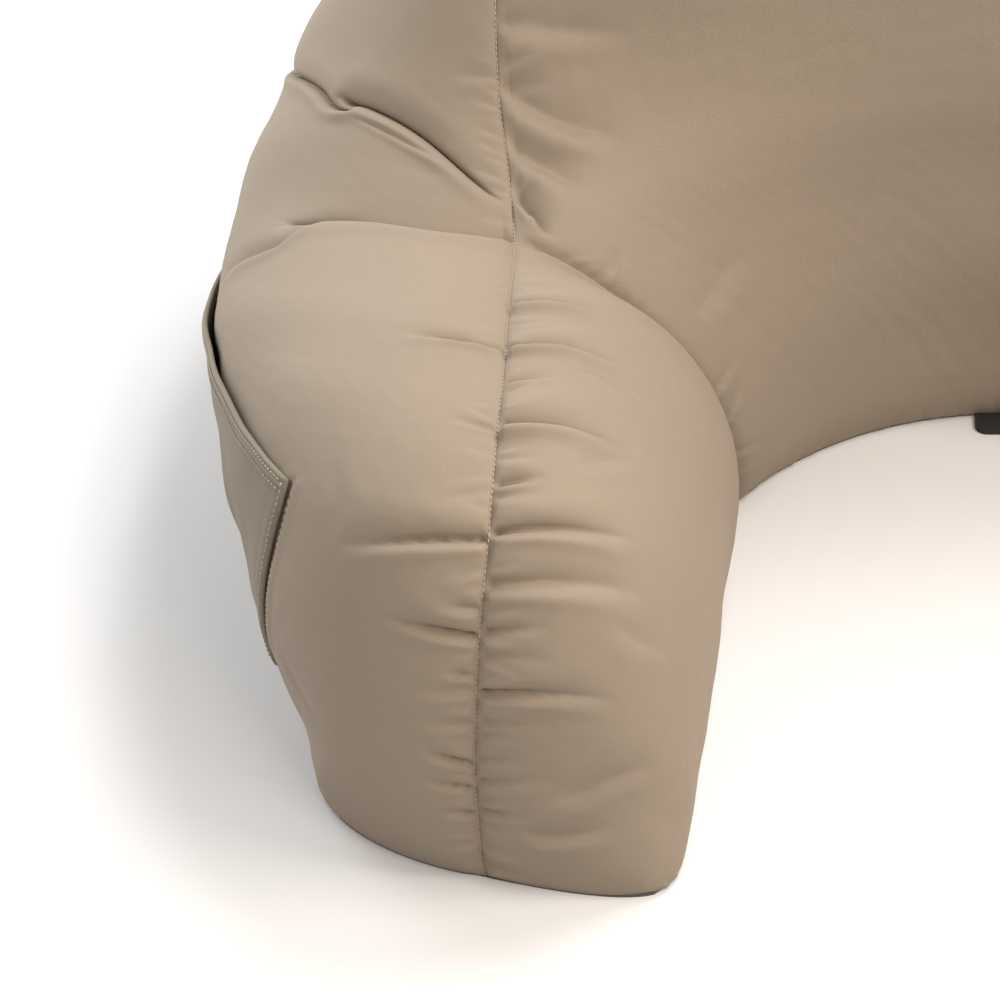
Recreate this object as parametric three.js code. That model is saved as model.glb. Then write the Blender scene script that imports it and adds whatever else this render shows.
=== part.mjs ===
// Backrest pillow with two arms: one filled cushion sewn from shaped panels, a patch pocket
// on the outer side of each arm, and a short pull tab at the middle of the base's front edge.
// Millimetres, +Z up. The seat side faces -Y and the arms reach forward along -Y.
//
// Points are written [out, forward, up]: out is the distance from the centre plane, forward is
// measured from the front of the base between the arms, and up is the height over the floor.

import * as THREE from 'three';
import { mergeVertices } from 'three/addons/utils/BufferGeometryUtils.js';

// Driving dimensions.
const SEAM_VALLEY_DEPTH = 6; // how far the cloth stands over a sewn seam beside it
const SEAM_VALLEY_REACH = 13; // how fast it rises from the seam
const GATHER_START = 5; // a gather opens to its full depth over this length from the seam
const DEPTH_MIDDLE = 55.8; // forward place of the middle of the whole depth
const POCKET_CLOTH = 1.6; // thickness of the pocket's cloth
const POCKET_HEM_EXTRA = 0.8; // what its turned hem adds to that
const POCKET_GAP = 1.2; // air between the pocket and the arm along the sewn edges
const POCKET_GAPE = 2; // how far the mouth of the pocket stands off besides
const TAB_WIDTH = 22;
const TAB_REACH = 13;
const TAB_THICKNESS = 3;
const TAB_CORNER = 6;
const TAB_GAP = 1; // from the cloth at the middle, so that the tab's ends clear it too

// Fineness of the surfaces.
const ROW_COLUMNS = { side: 14, inner: 11 }; // steps across a panel, from seam to edge
const EDGE_CROWDING = 0.09; // draws the steps across a panel towards its seams
const POCKET_STEPS = { along: 24, down: 9 };
const POCKET_HEM_STEPS = 2; // steps of the pocket that its hem takes
const TAB_CURVE_STEPS = 6;
const MERGE_DISTANCE = 0.001;

// Shares and signs.
const LEFT = -1;
const RIGHT = 1;
const TOP_EDGE_FADE = 0.35; // share of a back panel's rows that grow into its top edge
const MIDDLE_SHARE = 0.75; // share of its reach that a section curve gains at its middle
const GATHER_HOLD = 1.6; // a gather is at its full depth until this times the rest of its reach is 1
const LIP_PLACE = 1.9; // ridges beside a gather, in widths from its middle
const LIP_SPREAD = 1.6;
const LIP_SHARES = { above: 0.6, below: 0.4 };

// Colours and finishes.
const COVER_COLOUR = 0x9d8a73;
const POCKET_COLOUR = 0x9a8871;
const TAB_COLOUR = 0x1f1e1c;
const CLOTH_ROUGHNESS = 0.92;

// Side panel: the outer and upper side of an arm, then the side and top of the back.
// A row for each section, from the front foot of the arm to the middle of the back's top.
// seam is on the front seam, edge on the base edge or the rear seam; leave and arrive are
// the reach of the cloth from the two, and steps is the count of steps to the next row.
const ELBOW = 10;
const REAR_FOOT = 14;
const SHOULDER = 19;
const sidePanelRows = [
  { steps: 3, seam: [211, 315, 0], leave: [24, -3, 0], arrive: [-6, 24, 0], edge: [281, 268, 0] },
  { steps: 4, seam: [212, 316, 24], leave: [34, 2, 3], arrive: [3, 24, 15], edge: [284, 250, 0] },
  { steps: 6, seam: [212, 316, 52], leave: [52, 4, 4], arrive: [4, 34, 34], edge: [286, 230, 0] },
  { steps: 5, seam: [209, 316, 97], leave: [64, 4, 6], arrive: [17, 44, 62], edge: [290, 205, 0] },
  { steps: 5, seam: [205, 312, 136], leave: [72, 2, 8], arrive: [31, 40, 84], edge: [294, 178, 0] },
  { steps: 5, seam: [201, 296, 167], leave: [80, -4, 10], arrive: [44, 32, 100], edge: [298, 150, 0] },
  { steps: 4, seam: [200, 265, 183], leave: [86, -6, 10], arrive: [58, 22, 110], edge: [303, 118, 0] },
  { steps: 4, seam: [200, 234, 187], leave: [90, -8, 8], arrive: [65, 14, 112], edge: [306, 88, 0] },
  { steps: 5, seam: [201, 201, 186], leave: [92, -10, 8], arrive: [76, 8, 110], edge: [308, 58, 0] },
  { steps: 6, seam: [203, 155, 179], leave: [94, -12, 8], arrive: [87, 4, 106], edge: [309, 24, 0] },
  { steps: 5, seam: [206, 99, 168], leave: [92, -16, 16], arrive: [92, 0, 106], edge: [308, -16, 0] },
  { steps: 4, seam: [211, 62, 184], leave: [92, -24, 20], arrive: [88, -2, 104], edge: [304, -62, 0] },
  { steps: 4, seam: [215, 41, 206], leave: [92, -28, 18], arrive: [80, -8, 96], edge: [295, -108, 0] },
  { steps: 3, seam: [216, 26, 232], leave: [96, -32, 14], arrive: [80, -12, 86], edge: [279, -148, 0] },
  { steps: 3, seam: [216, 10, 262], leave: [90, -36, 6], arrive: [78, -6, 70], edge: [254, -174, 0] },
  { steps: 3, seam: [212, -6, 300], leave: [76, -40, 0], arrive: [66, 10, 44], edge: [250, -178, 64] },
  { steps: 3, seam: [206, -20, 340], leave: [56, -40, -2], arrive: [52, 22, 30], edge: [240, -178, 142] },
  { steps: 3, seam: [196, -34, 384], leave: [44, -40, 0], arrive: [44, 28, 24], edge: [222, -172, 232] },
  { steps: 3, seam: [180, -45, 424], leave: [32, -38, 8], arrive: [36, 30, 24], edge: [198, -165, 320] },
  { steps: 3, seam: [152, -54, 458], leave: [20, -36, 16], arrive: [26, 32, 24], edge: [164, -158, 400] },
  { steps: 4, seam: [110, -60, 481], leave: [10, -34, 22], arrive: [14, 32, 26], edge: [117, -154, 446] },
  { steps: 4, seam: [58, -63, 491], leave: [3, -34, 24], arrive: [5, 32, 28], edge: [61, -151, 467] },
  { steps: 0, seam: [0, -64, 494], leave: [0, -34, 24], arrive: [0, 32, 28], edge: [0, -150, 473] },
];

// Inner arm panel: a row for each section from the ridge seam down to the base edge at the
// seat. It shares the side panel's first rows and its seam; its last row is the tuck where
// the arm meets the back.
const innerPanelRows = [
  { leave: [-24, 8, 0], arrive: [14, 5, 0], edge: [141, 325, 0] },
  { leave: [-38, 6, 2], arrive: [0, 13, 10], edge: [133, 314, 0] },
  { leave: [-50, 6, 4], arrive: [-3, 26, 30], edge: [131, 294, 0] },
  { leave: [-58, 4, 6], arrive: [-8, 38, 54], edge: [131, 266, 0] },
  { leave: [-60, 0, 8], arrive: [-13, 38, 74], edge: [130, 237, 0] },
  { leave: [-60, -5, 9], arrive: [-17, 30, 88], edge: [129, 209, 0] },
  { leave: [-60, -8, 8], arrive: [-20, 23, 96], edge: [128, 181, 0] },
  { leave: [-60, -10, 6], arrive: [-22, 17, 98], edge: [127, 154, 0] },
  { leave: [-60, -11, 5], arrive: [-23, 12, 96], edge: [125, 127, 0] },
  { leave: [-58, -9, 2], arrive: [-22, 9, 84], edge: [123, 99, 0] },
  { leave: [-46, -8, -18], arrive: [-20, 8, 62], edge: [121, 69, 0] },
];

// Front panel of the back: a row for each section from one side to the other. at counts the
// side panel's rows, and 9 to 10 is the tuck of the arm, from the floor up to the elbow.
// middle is the section's [forward, up] on the centre plane, and reach its reach inwards
// from the sides.
const frontPanelRows = [
  { at: 9, reach: 60, middle: [0, 0] },
  { at: 9.25, reach: 52, middle: [7, 46] },
  { at: 9.5, reach: 56, middle: [11, 92] },
  { at: 9.75, reach: 74, middle: [12, 134] },
  { at: 10, reach: 92, middle: [12, 166] },
  { at: 11, reach: 98, middle: [10, 193] },
  { at: 12, reach: 98, middle: [8, 220] },
  { at: 13, reach: 96, middle: [5, 250] },
  { at: 14, reach: 92, middle: [1, 285] },
  { at: 15, reach: 88, middle: [-4, 326] },
  { at: 16, reach: 84, middle: [-10, 370] },
  { at: 17, reach: 78, middle: [-18, 414] },
  { at: 18, reach: 72, middle: [-30, 456] },
  { at: 19, reach: 66, middle: [-44, 490] },
];

// Rear panel of the back: the same, from the rear foot up to the shoulder.
const rearPanelRows = [
  { at: 14, reach: 84, middle: [-190, 0] },
  { at: 15, reach: 84, middle: [-207, 78] },
  { at: 16, reach: 82, middle: [-209, 168] },
  { at: 17, reach: 76, middle: [-204, 266] },
  { at: 18, reach: 70, middle: [-190, 366] },
  { at: 19, reach: 66, middle: [-164, 464] },
];

// Gathers and creases: at is the place on the front seam in side panel rows, reach the length
// into the cloth, drift how far the far end has moved along the seam, in rows, and depth and
// width the size of the trough. lip is the ridge beside it, as a share of its depth.
const leftSideGathers = [
  { at: 10.45, reach: 200, drift: 2.0, depth: 9, width: 8, lip: 1 },
  { at: 10.05, reach: 195, drift: 0.1, depth: 7, width: 7, lip: 0.8 },
  { at: 7.95, reach: 40, drift: -0.1, depth: 5, width: 5, lip: 0.5 },
  { at: 6.35, reach: 20, drift: 0, depth: 3, width: 4, lip: 0.4 },
  { at: 4.9, reach: 62, drift: -0.25, depth: 6, width: 6, lip: 0.5 },
  { at: 3.85, reach: 46, drift: 0.2, depth: 5, width: 6, lip: 0.5 },
  { at: 3.25, reach: 20, drift: 0, depth: 3.5, width: 5, lip: 0.4 },
  { at: 2.1, reach: 26, drift: 0.1, depth: 4, width: 5, lip: 0.5 },
  { at: 1.4, reach: 20, drift: 0, depth: 3, width: 5, lip: 0.4 },
];
const rightSideGathers = [
  { at: 10.55, reach: 180, drift: 1.7, depth: 8.5, width: 8, lip: 1.1 },
  { at: 10.05, reach: 170, drift: 0.4, depth: 7, width: 7, lip: 0.8 },
  { at: 8.4, reach: 34, drift: -0.1, depth: 4, width: 5, lip: 0.5 },
  { at: 7.0, reach: 52, drift: 0.2, depth: 5, width: 6, lip: 0.5 },
  { at: 5.6, reach: 30, drift: 0, depth: 4, width: 5, lip: 0.4 },
  { at: 4.3, reach: 58, drift: -0.2, depth: 6, width: 6, lip: 0.5 },
  { at: 3.1, reach: 32, drift: 0.1, depth: 4, width: 5, lip: 0.5 },
  { at: 1.9, reach: 24, drift: 0, depth: 4, width: 5, lip: 0.4 },
];
const leftInnerGathers = [
  { at: 8.7, reach: 70, drift: -0.35, depth: 4.5, width: 6, lip: 0.6 },
  { at: 8.0, reach: 48, drift: -0.1, depth: 3.5, width: 5, lip: 0.5 },
  { at: 7.25, reach: 30, drift: 0, depth: 3, width: 5, lip: 0.5 },
  { at: 6.33, reach: 56, drift: 0, depth: 6.5, width: 6, lip: 0.6 },
  { at: 4.95, reach: 60, drift: 0, depth: 5.5, width: 6, lip: 0.5 },
  { at: 3.7, reach: 34, drift: 0.1, depth: 4, width: 6, lip: 0.5 },
  { at: 3.05, reach: 60, drift: -0.1, depth: 4.5, width: 6, lip: 0.5 },
  { at: 2.1, reach: 24, drift: 0, depth: 3.5, width: 5, lip: 0.5 },
];
const rightInnerGathers = [
  { at: 8.9, reach: 60, drift: -0.3, depth: 4.5, width: 6, lip: 0.6 },
  { at: 7.6, reach: 55, drift: -0.1, depth: 5, width: 6, lip: 0.5 },
  { at: 6.5, reach: 34, drift: 0, depth: 3.5, width: 5, lip: 0.5 },
  { at: 5.3, reach: 62, drift: 0.1, depth: 6, width: 6, lip: 0.6 },
  { at: 4.2, reach: 30, drift: 0, depth: 3.5, width: 5, lip: 0.5 },
  { at: 3.3, reach: 50, drift: 0, depth: 5, width: 6, lip: 0.5 },
  { at: 2.3, reach: 30, drift: 0, depth: 3.5, width: 5, lip: 0.5 },
];
const leftFrontGathers = [
  { at: 12.1, reach: 75, drift: -0.35, depth: 2, width: 8, lip: 0.5 },
  { at: 11.4, reach: 75, drift: -0.5, depth: 2.6, width: 8, lip: 0.5 },
  { at: 10.6, reach: 95, drift: -0.9, depth: 4.2, width: 8, lip: 0.6 },
];
const rightFrontGathers = [
  { at: 12.6, reach: 70, drift: -0.3, depth: 3, width: 8, lip: 0.5 },
  { at: 11.2, reach: 90, drift: -0.6, depth: 5, width: 8, lip: 0.6 },
  { at: 10.5, reach: 70, drift: -0.7, depth: 4.5, width: 8, lip: 0.5 },
];

// Patch pocket: its corners and edges on the side panel, as a place along (side panel rows)
// and across (0 at the seam, 1 at the base edge).
const pocketTop = [
  { along: 5.4, across: 0.37 },
  { along: 5.75, across: 0.435 },
  { along: 6.3, across: 0.505 },
  { along: 7.2, across: 0.565 },
  { along: 8.4, across: 0.61 },
  { along: 10.5, across: 0.63 },
];
const pocketBottom = [
  { along: 3.2, across: 0.63 },
  { along: 4.9, across: 0.84 },
  { along: 6.8, across: 0.93 },
  { along: 10.6, across: 0.94 },
];

// A value between the rows of a table: smooth, and never beyond the rows on either side.
function between(knots, values, x) {
  const last = knots.length - 1;
  let i = 0;
  while (i < last - 1 && x > knots[i + 1]) {
    i += 1;
  }
  const slopeOf = (k) => (values[k + 1] - values[k]) / (knots[k + 1] - knots[k]);
  const tangentAt = (k) => {
    if (k === 0) {
      return slopeOf(0);
    }
    if (k === last) {
      return slopeOf(last - 1);
    }
    const before = slopeOf(k - 1);
    const after = slopeOf(k);
    return before * after <= 0 ? 0 : (2 * before * after) / (before + after);
  };
  const span = knots[i + 1] - knots[i];
  const t = (x - knots[i]) / span;
  const t2 = t * t;
  const t3 = t2 * t;
  return (
    (2 * t3 - 3 * t2 + 1) * values[i] +
    (t3 - 2 * t2 + t) * span * tangentAt(i) +
    (3 * t2 - 2 * t3) * values[i + 1] +
    (t3 - t2) * span * tangentAt(i + 1)
  );
}

// The named vector of a table at row place x.
function vectorBetween(rows, knots, name, x) {
  const valueOf = (axis) => between(knots, rows.map((row) => row[name][axis]), x);
  return new THREE.Vector3(...[0, 1, 2].map(valueOf));
}

const sideKnots = sidePanelRows.map((_, index) => index);

// Row places of the side panel, a list with steps between each pair of table rows.
function rowPlaces() {
  const places = [];
  sidePanelRows.forEach((row, index) => {
    for (let step = 0; step < Math.max(row.steps, 1); step += 1) {
      places.push(index + step / Math.max(row.steps, 1));
    }
  });
  return places;
}

// Places across a panel, drawn a little towards both of its ends.
function acrossPlaces(count) {
  return Array.from({ length: count + 1 }, (_, i) => {
    const even = i / count;
    return even - EDGE_CROWDING * Math.sin(2 * Math.PI * even);
  });
}

// Section curve of cloth from start to end, with the reach of the cloth at each.
function section(start, leave, arrive, end) {
  return new THREE.CubicBezierCurve3(start, start.clone().add(leave), end.clone().add(arrive), end);
}

function sideSection(place) {
  const part = (name) => vectorBetween(sidePanelRows, sideKnots, name, place);
  return section(part('seam'), part('leave'), part('arrive'), part('edge'));
}

function innerSection(place) {
  const knots = innerPanelRows.map((_, index) => index);
  const part = (name) => vectorBetween(innerPanelRows, knots, name, place);
  const seam = vectorBetween(sidePanelRows, sideKnots, 'seam', place);
  return section(seam, part('leave'), part('arrive'), part('edge'));
}

// A grid of points for the places along and across, each row from its section curve.
function sectionGrid(places, across, sectionAt) {
  return places.map((place) => {
    const curve = sectionAt(place);
    return across.map((t) => curve.getPoint(t));
  });
}

// Length along a list of points, from its first point to each.
function runningLengths(points) {
  const lengths = [0];
  for (let i = 1; i < points.length; i += 1) {
    lengths.push(lengths[i - 1] + points[i].distanceTo(points[i - 1]));
  }
  return lengths;
}

// Running length at a place between the listed places.
function lengthAt(places, lengths, place) {
  const last = places.length - 1;
  if (place <= places[0]) {
    return lengths[0];
  }
  if (place >= places[last]) {
    return lengths[last];
  }
  let i = 0;
  while (place > places[i + 1]) {
    i += 1;
  }
  const share = (place - places[i]) / (places[i + 1] - places[i]);
  return lengths[i] + share * (lengths[i + 1] - lengths[i]);
}

// Unit normals of a grid, pointing out of the filling when turn is 1.
function gridNormals(grid, turn) {
  const rows = grid.length;
  const columns = grid[0].length;
  return grid.map((row, i) =>
    row.map((_, j) => {
      const along = grid[Math.min(i + 1, rows - 1)][j].clone().sub(grid[Math.max(i - 1, 0)][j]);
      const across = row[Math.min(j + 1, columns - 1)].clone().sub(row[Math.max(j - 1, 0)]);
      return along.cross(across).normalize().multiplyScalar(turn);
    })
  );
}

// Height of the cloth at a distance from the middle of one gather: a trough with a ridge on
// each side, the stronger one above it.
function gatherProfile(gather, offset) {
  const x = offset / gather.width;
  const trough = Math.exp(-x * x);
  const above = Math.exp(-((x - LIP_PLACE) ** 2) / LIP_SPREAD);
  const below = Math.exp(-((x + LIP_PLACE) ** 2) / LIP_SPREAD);
  const lips = LIP_SHARES.above * above + LIP_SHARES.below * below;
  return gather.depth * (gather.lip * lips - trough);
}

// Depth share of a gather at a distance from the seam.
function gatherFade(gather, distance) {
  if (distance >= gather.reach) {
    return 0;
  }
  const opening = Math.min(1, distance / GATHER_START);
  const rest = 1 - distance / gather.reach;
  return opening * Math.min(1, GATHER_HOLD * rest);
}

// Raises the cloth beside its seams and sinks its gathers, along the normals of the grid.
// valley(i, j) is the distance to the nearest seam. Each set of gathers has its own
// distance(i, j) from the seam that the gathers start from.
function dressGrid(grid, turn, gridPlaces, gatherSets, valley) {
  const normals = gridNormals(grid, turn);
  const columnLengths = grid[0].map((_, j) => runningLengths(grid.map((row) => row[j])));
  const gatherHeight = (gather, away, i, j) => {
    const fade = gatherFade(gather, away);
    if (fade === 0) {
      return 0;
    }
    const centre = gather.at + gather.drift * (away / gather.reach);
    const offset = columnLengths[j][i] - lengthAt(gridPlaces, columnLengths[j], centre);
    return fade * gatherProfile(gather, offset);
  };
  return grid.map((row, i) =>
    row.map((point, j) => {
      let height = SEAM_VALLEY_DEPTH * (1 - Math.exp(-valley(i, j) / SEAM_VALLEY_REACH));
      gatherSets.forEach(({ gathers, distance }) => {
        const away = distance(i, j);
        gathers.forEach((gather) => {
          height += gatherHeight(gather, away, i, j);
        });
      });
      const moved = point.clone().addScaledVector(normals[i][j], height);
      moved.z = Math.max(moved.z, 0);
      return moved;
    })
  );
}

// The sewn lines stay where the plain grid has them, so that the panels meet.
function keepBorder(plain, dressed) {
  const last = plain.length - 1;
  return dressed.map((row, i) =>
    row.map((point, j) => {
      const onBorder = i === 0 || i === last || j === 0 || j === row.length - 1;
      return onBorder ? plain[i][j] : point;
    })
  );
}

const places = rowPlaces();
const armPlaces = places.filter((place) => place <= ELBOW);
const sideAcross = acrossPlaces(ROW_COLUMNS.side);
const innerAcross = acrossPlaces(ROW_COLUMNS.inner);
const plainSide = sectionGrid(places, sideAcross, sideSection);
const plainInner = sectionGrid(armPlaces, innerAcross, innerSection);

// Distances of a grid's points from the four borders of the grid.
function gridDistances(grid) {
  const lengths = grid.map((row) => runningLengths(row));
  const rises = grid[0].map((_, j) => runningLengths(grid.map((row) => row[j])));
  return {
    fromStart: (i, j) => lengths[i][j],
    toEnd: (i, j) => lengths[i][lengths[i].length - 1] - lengths[i][j],
    fromFirstRow: (i, j) => rises[j][i],
    toLastRow: (i, j) => rises[j][grid.length - 1] - rises[j][i],
  };
}

function sideGrid(gathers) {
  const { fromStart, toEnd, fromFirstRow } = gridDistances(plainSide);
  const valley = (i, j) => Math.min(fromStart(i, j), toEnd(i, j), fromFirstRow(i, j));
  const dressed = dressGrid(plainSide, 1, places, [{ gathers, distance: fromStart }], valley);
  const grid = keepBorder(plainSide, dressed);
  grid[grid.length - 1] = dressed[dressed.length - 1].map((point) => point.clone().setX(0));
  return grid;
}

function innerGrid(gathers) {
  const { fromStart, toEnd, fromFirstRow, toLastRow } = gridDistances(plainInner);
  const valley = (i, j) => Math.min(fromStart(i, j), toEnd(i, j), fromFirstRow(i, j), toLastRow(i, j));
  const dressed = dressGrid(plainInner, -1, armPlaces, [{ gathers, distance: fromStart }], valley);
  return keepBorder(plainInner, dressed);
}

const acrossCentre = (point) => new THREE.Vector3(-point.x, point.y, point.z);

// A row from its left half: the half itself, then the same mirrored, its last point shared.
function wholeRow(leftHalf) {
  return [...leftHalf, ...leftHalf.slice(0, -1).reverse().map(acrossCentre)];
}

// A panel that spans the back from side to side. edge is its left edge from the floor up,
// a list of places and points, and topRow its sewn top edge, which the last rows grow into.
function spanningGrid(rows, edge, topRow) {
  const knots = rows.map((row) => row.at);
  const reaches = rows.map((row) => row.reach);
  const middles = [0, 1].map((axis) => rows.map((row) => row.middle[axis]));
  const last = edge.length - 1;
  const topLengths = runningLengths(topRow);
  const shares = topLengths.map((length) => length / topLengths[topLengths.length - 1]);
  const grid = edge.map(({ place, point }) => {
    const [forward, up] = middles.map((values) => between(knots, values, place));
    const rise = (height, from) => (height - from) / MIDDLE_SHARE;
    const reach = between(knots, reaches, place);
    const leave = new THREE.Vector3(-reach, rise(forward, point.y), rise(up, point.z));
    const curve = section(point, leave, acrossCentre(leave), acrossCentre(point));
    return shares.map((share) => curve.getPoint(share));
  });
  const fadeRows = Math.round(last * TOP_EDGE_FADE);
  const change = topRow.map((point, j) => point.clone().sub(grid[last][j]));
  return grid.map((row, i) => {
    const share = Math.max(0, 1 - (last - i) / fadeRows);
    const ease = share * share * (3 - 2 * share);
    return row.map((point, j) => point.addScaledVector(change[j], ease));
  });
}

function frontGrid() {
  const tuck = plainInner[plainInner.length - 1]
    .map((point, j) => ({ place: ELBOW - innerAcross[j], point }))
    .reverse();
  const upper = places
    .map((place, i) => ({ place, point: plainSide[i][0] }))
    .filter(({ place }) => place > ELBOW && place <= SHOULDER);
  const edge = [...tuck, ...upper];
  const topHalf = plainSide.filter((_, i) => places[i] >= SHOULDER).map((row) => row[0]);
  const plain = spanningGrid(frontPanelRows, edge, wholeRow(topHalf));
  const { fromStart, toEnd, fromFirstRow, toLastRow } = gridDistances(plain);
  const valley = (i, j) => Math.min(fromStart(i, j), toEnd(i, j), fromFirstRow(i, j), toLastRow(i, j));
  const sets = [
    { gathers: leftFrontGathers, distance: fromStart },
    { gathers: rightFrontGathers, distance: toEnd },
  ];
  const edgePlaces = edge.map(({ place }) => place);
  return keepBorder(plain, dressGrid(plain, -1, edgePlaces, sets, valley));
}

function rearGrid() {
  const rearColumn = sideAcross.length - 1;
  const edge = places
    .map((place, i) => ({ place, point: plainSide[i][rearColumn] }))
    .filter(({ place }) => place >= REAR_FOOT && place <= SHOULDER);
  const topHalf = plainSide.filter((_, i) => places[i] >= SHOULDER).map((row) => row[rearColumn]);
  const plain = spanningGrid(rearPanelRows, edge, wholeRow(topHalf));
  const { fromStart, toEnd, fromFirstRow, toLastRow } = gridDistances(plain);
  const valley = (i, j) => Math.min(fromStart(i, j), toEnd(i, j), fromFirstRow(i, j), toLastRow(i, j));
  return keepBorder(plain, dressGrid(plain, 1, edge.map(({ place }) => place), [], valley));
}

// The two long edges of one half of the flat base, both from the centre plane to the foot of
// the ridge seam: one round the seat, the other round the rear and the outside.
function baseEdges(front, rear) {
  const halfOf = (row) => row.slice(0, (row.length + 1) / 2).reverse();
  const joined = (lines) => lines.flatMap((line, index) => (index === 0 ? line : line.slice(1)));
  const seatLine = plainInner.map((row) => row[row.length - 1]).reverse();
  const armRows = plainSide.filter((_, i) => places[i] <= REAR_FOOT);
  const outerLine = armRows.map((row) => row[row.length - 1]).reverse();
  return {
    seatSide: joined([halfOf(front[0]), seatLine, plainInner[0].slice().reverse()]),
    outside: joined([halfOf(rear[0]), outerLine, plainSide[0].slice().reverse()]),
  };
}

// Model position of a table point; side is LEFT or RIGHT.
function placed(point, side) {
  return new THREE.Vector3(side * point.x, DEPTH_MIDDLE - point.y, point.z);
}

// Triangles of a grid, three points each. inward turns them round.
function gridTriangles(grid, side, inward) {
  const triangles = [];
  for (let i = 0; i < grid.length - 1; i += 1) {
    for (let j = 0; j < grid[i].length - 1; j += 1) {
      const corners = [grid[i][j], grid[i + 1][j], grid[i + 1][j + 1], grid[i][j + 1]];
      const [a, b, c, d] = corners.map((corner) => placed(corner, side));
      triangles.push(...(inward ? [a, c, b, a, d, c] : [a, b, c, a, c, d]));
    }
  }
  return triangles;
}

// Triangles between two lines that end in one point, stepping along whichever is behind.
function ribbonTriangles(first, second) {
  const share = (line) => {
    const lengths = runningLengths(line);
    return lengths.map((length) => length / lengths[lengths.length - 1]);
  };
  const [firstShares, secondShares] = [share(first), share(second)];
  const triangles = [];
  let i = 0;
  let j = 0;
  while (i < first.length - 2 || j < second.length - 2) {
    const firstBehind = i < first.length - 2 && firstShares[i + 1] <= secondShares[j + 1];
    const stepFirst = j === second.length - 2 || firstBehind;
    triangles.push(first[i], second[j], stepFirst ? first[i + 1] : second[j + 1]);
    i += stepFirst ? 1 : 0;
    j += stepFirst ? 0 : 1;
  }
  triangles.push(first[i], second[j], first[i + 1]);
  return triangles;
}

function turned(triangles) {
  return triangles.map((_, i) => triangles[i - (i % 3) + ((3 - (i % 3)) % 3)]);
}

function baseTriangles(front, rear) {
  const { seatSide, outside } = baseEdges(front, rear);
  const half = ribbonTriangles(seatSide, outside);
  const left = turned(half).map((point) => placed(point, LEFT));
  const right = half.map((point) => placed(point, RIGHT));
  return [...left, ...right];
}

// Closed body from a list of triangle points.
function solidGeometry(triangles) {
  const geometry = new THREE.BufferGeometry();
  const positions = triangles.flatMap((point) => point.toArray());
  geometry.setAttribute('position', new THREE.Float32BufferAttribute(positions, 3));
  return mergeVertices(geometry, MERGE_DISTANCE);
}

function clothMesh(name, geometry, colour) {
  const finish = { color: colour, roughness: CLOTH_ROUGHNESS, metalness: 0 };
  const material = new THREE.MeshStandardMaterial(finish);
  geometry.computeVertexNormals();
  const mesh = new THREE.Mesh(geometry, material);
  mesh.name = name;
  return mesh;
}

const sides = { left: sideGrid(leftSideGathers), right: sideGrid(rightSideGathers) };
const inners = { left: innerGrid(leftInnerGathers), right: innerGrid(rightInnerGathers) };
const front = frontGrid();
const rear = rearGrid();

function cushion() {
  const triangles = [
    ...gridTriangles(sides.left, LEFT, false),
    ...gridTriangles(sides.right, RIGHT, true),
    ...gridTriangles(inners.left, LEFT, true),
    ...gridTriangles(inners.right, RIGHT, false),
    ...gridTriangles(front, LEFT, true),
    ...gridTriangles(rear, LEFT, false),
    ...baseTriangles(front, rear),
  ];
  return clothMesh('cushion', solidGeometry(triangles), COVER_COLOUR);
}

// Point and outward normal of the side panel at a place along and across it.
function onSidePanel(grid, normals, along, across) {
  const fraction = (list, value) => {
    let i = 0;
    while (i < list.length - 2 && value > list[i + 1]) {
      i += 1;
    }
    return { i, t: (value - list[i]) / (list[i + 1] - list[i]) };
  };
  const row = fraction(places, along);
  const column = fraction(sideAcross, across);
  const blend = (source) => {
    const upper = source[row.i][column.i].clone().lerp(source[row.i][column.i + 1], column.t);
    const lower = source[row.i + 1][column.i].clone().lerp(source[row.i + 1][column.i + 1], column.t);
    return upper.lerp(lower, row.t);
  };
  return { point: blend(grid), normal: blend(normals).normalize() };
}

// A patch pocket: double cloth on the side panel, a little thicker along its turned hem, with
// its mouth standing off.
function pocket(name, side) {
  const grid = side === LEFT ? sides.left : sides.right;
  const normals = gridNormals(grid, 1);
  const acrossAt = (edge, place) =>
    between(edge.map(({ along }) => along), edge.map(({ across }) => across), place);
  const alongAt = (edge, share) =>
    THREE.MathUtils.lerp(edge[0].along, edge[edge.length - 1].along, share);
  const inner = [];
  const outer = [];
  for (let i = 0; i <= POCKET_STEPS.along; i += 1) {
    const share = i / POCKET_STEPS.along;
    const top = alongAt(pocketTop, share);
    const bottom = alongAt(pocketBottom, share);
    const sewn = Math.sin(Math.PI * share);
    inner.push([]);
    outer.push([]);
    for (let j = 0; j <= POCKET_STEPS.down; j += 1) {
      const down = j / POCKET_STEPS.down;
      const along = THREE.MathUtils.lerp(top, bottom, down);
      const mouth = acrossAt(pocketTop, top);
      const across = THREE.MathUtils.lerp(mouth, acrossAt(pocketBottom, bottom), down);
      const { point, normal } = onSidePanel(grid, normals, along, across);
      const gap = POCKET_GAP + POCKET_GAPE * sewn * (1 - down) ** 2;
      const cloth = POCKET_CLOTH + (j <= POCKET_HEM_STEPS ? POCKET_HEM_EXTRA : 0);
      inner[i].push(point.clone().addScaledVector(normal, gap));
      outer[i].push(point.clone().addScaledVector(normal, gap + cloth));
    }
  }
  const inward = side === RIGHT;
  const rimOf = (layer) => [
    ...layer.map((row) => row[0]),
    ...layer[POCKET_STEPS.along].slice(1),
    ...layer.map((row) => row[POCKET_STEPS.down]).reverse().slice(1),
    ...layer[0].slice(0, -1).reverse(),
  ];
  const triangles = [
    ...gridTriangles(outer, side, inward),
    ...gridTriangles(inner, side, !inward),
    ...gridTriangles([rimOf(outer), rimOf(inner)], side, inward),
  ];
  return clothMesh(name, solidGeometry(triangles), POCKET_COLOUR);
}

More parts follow.
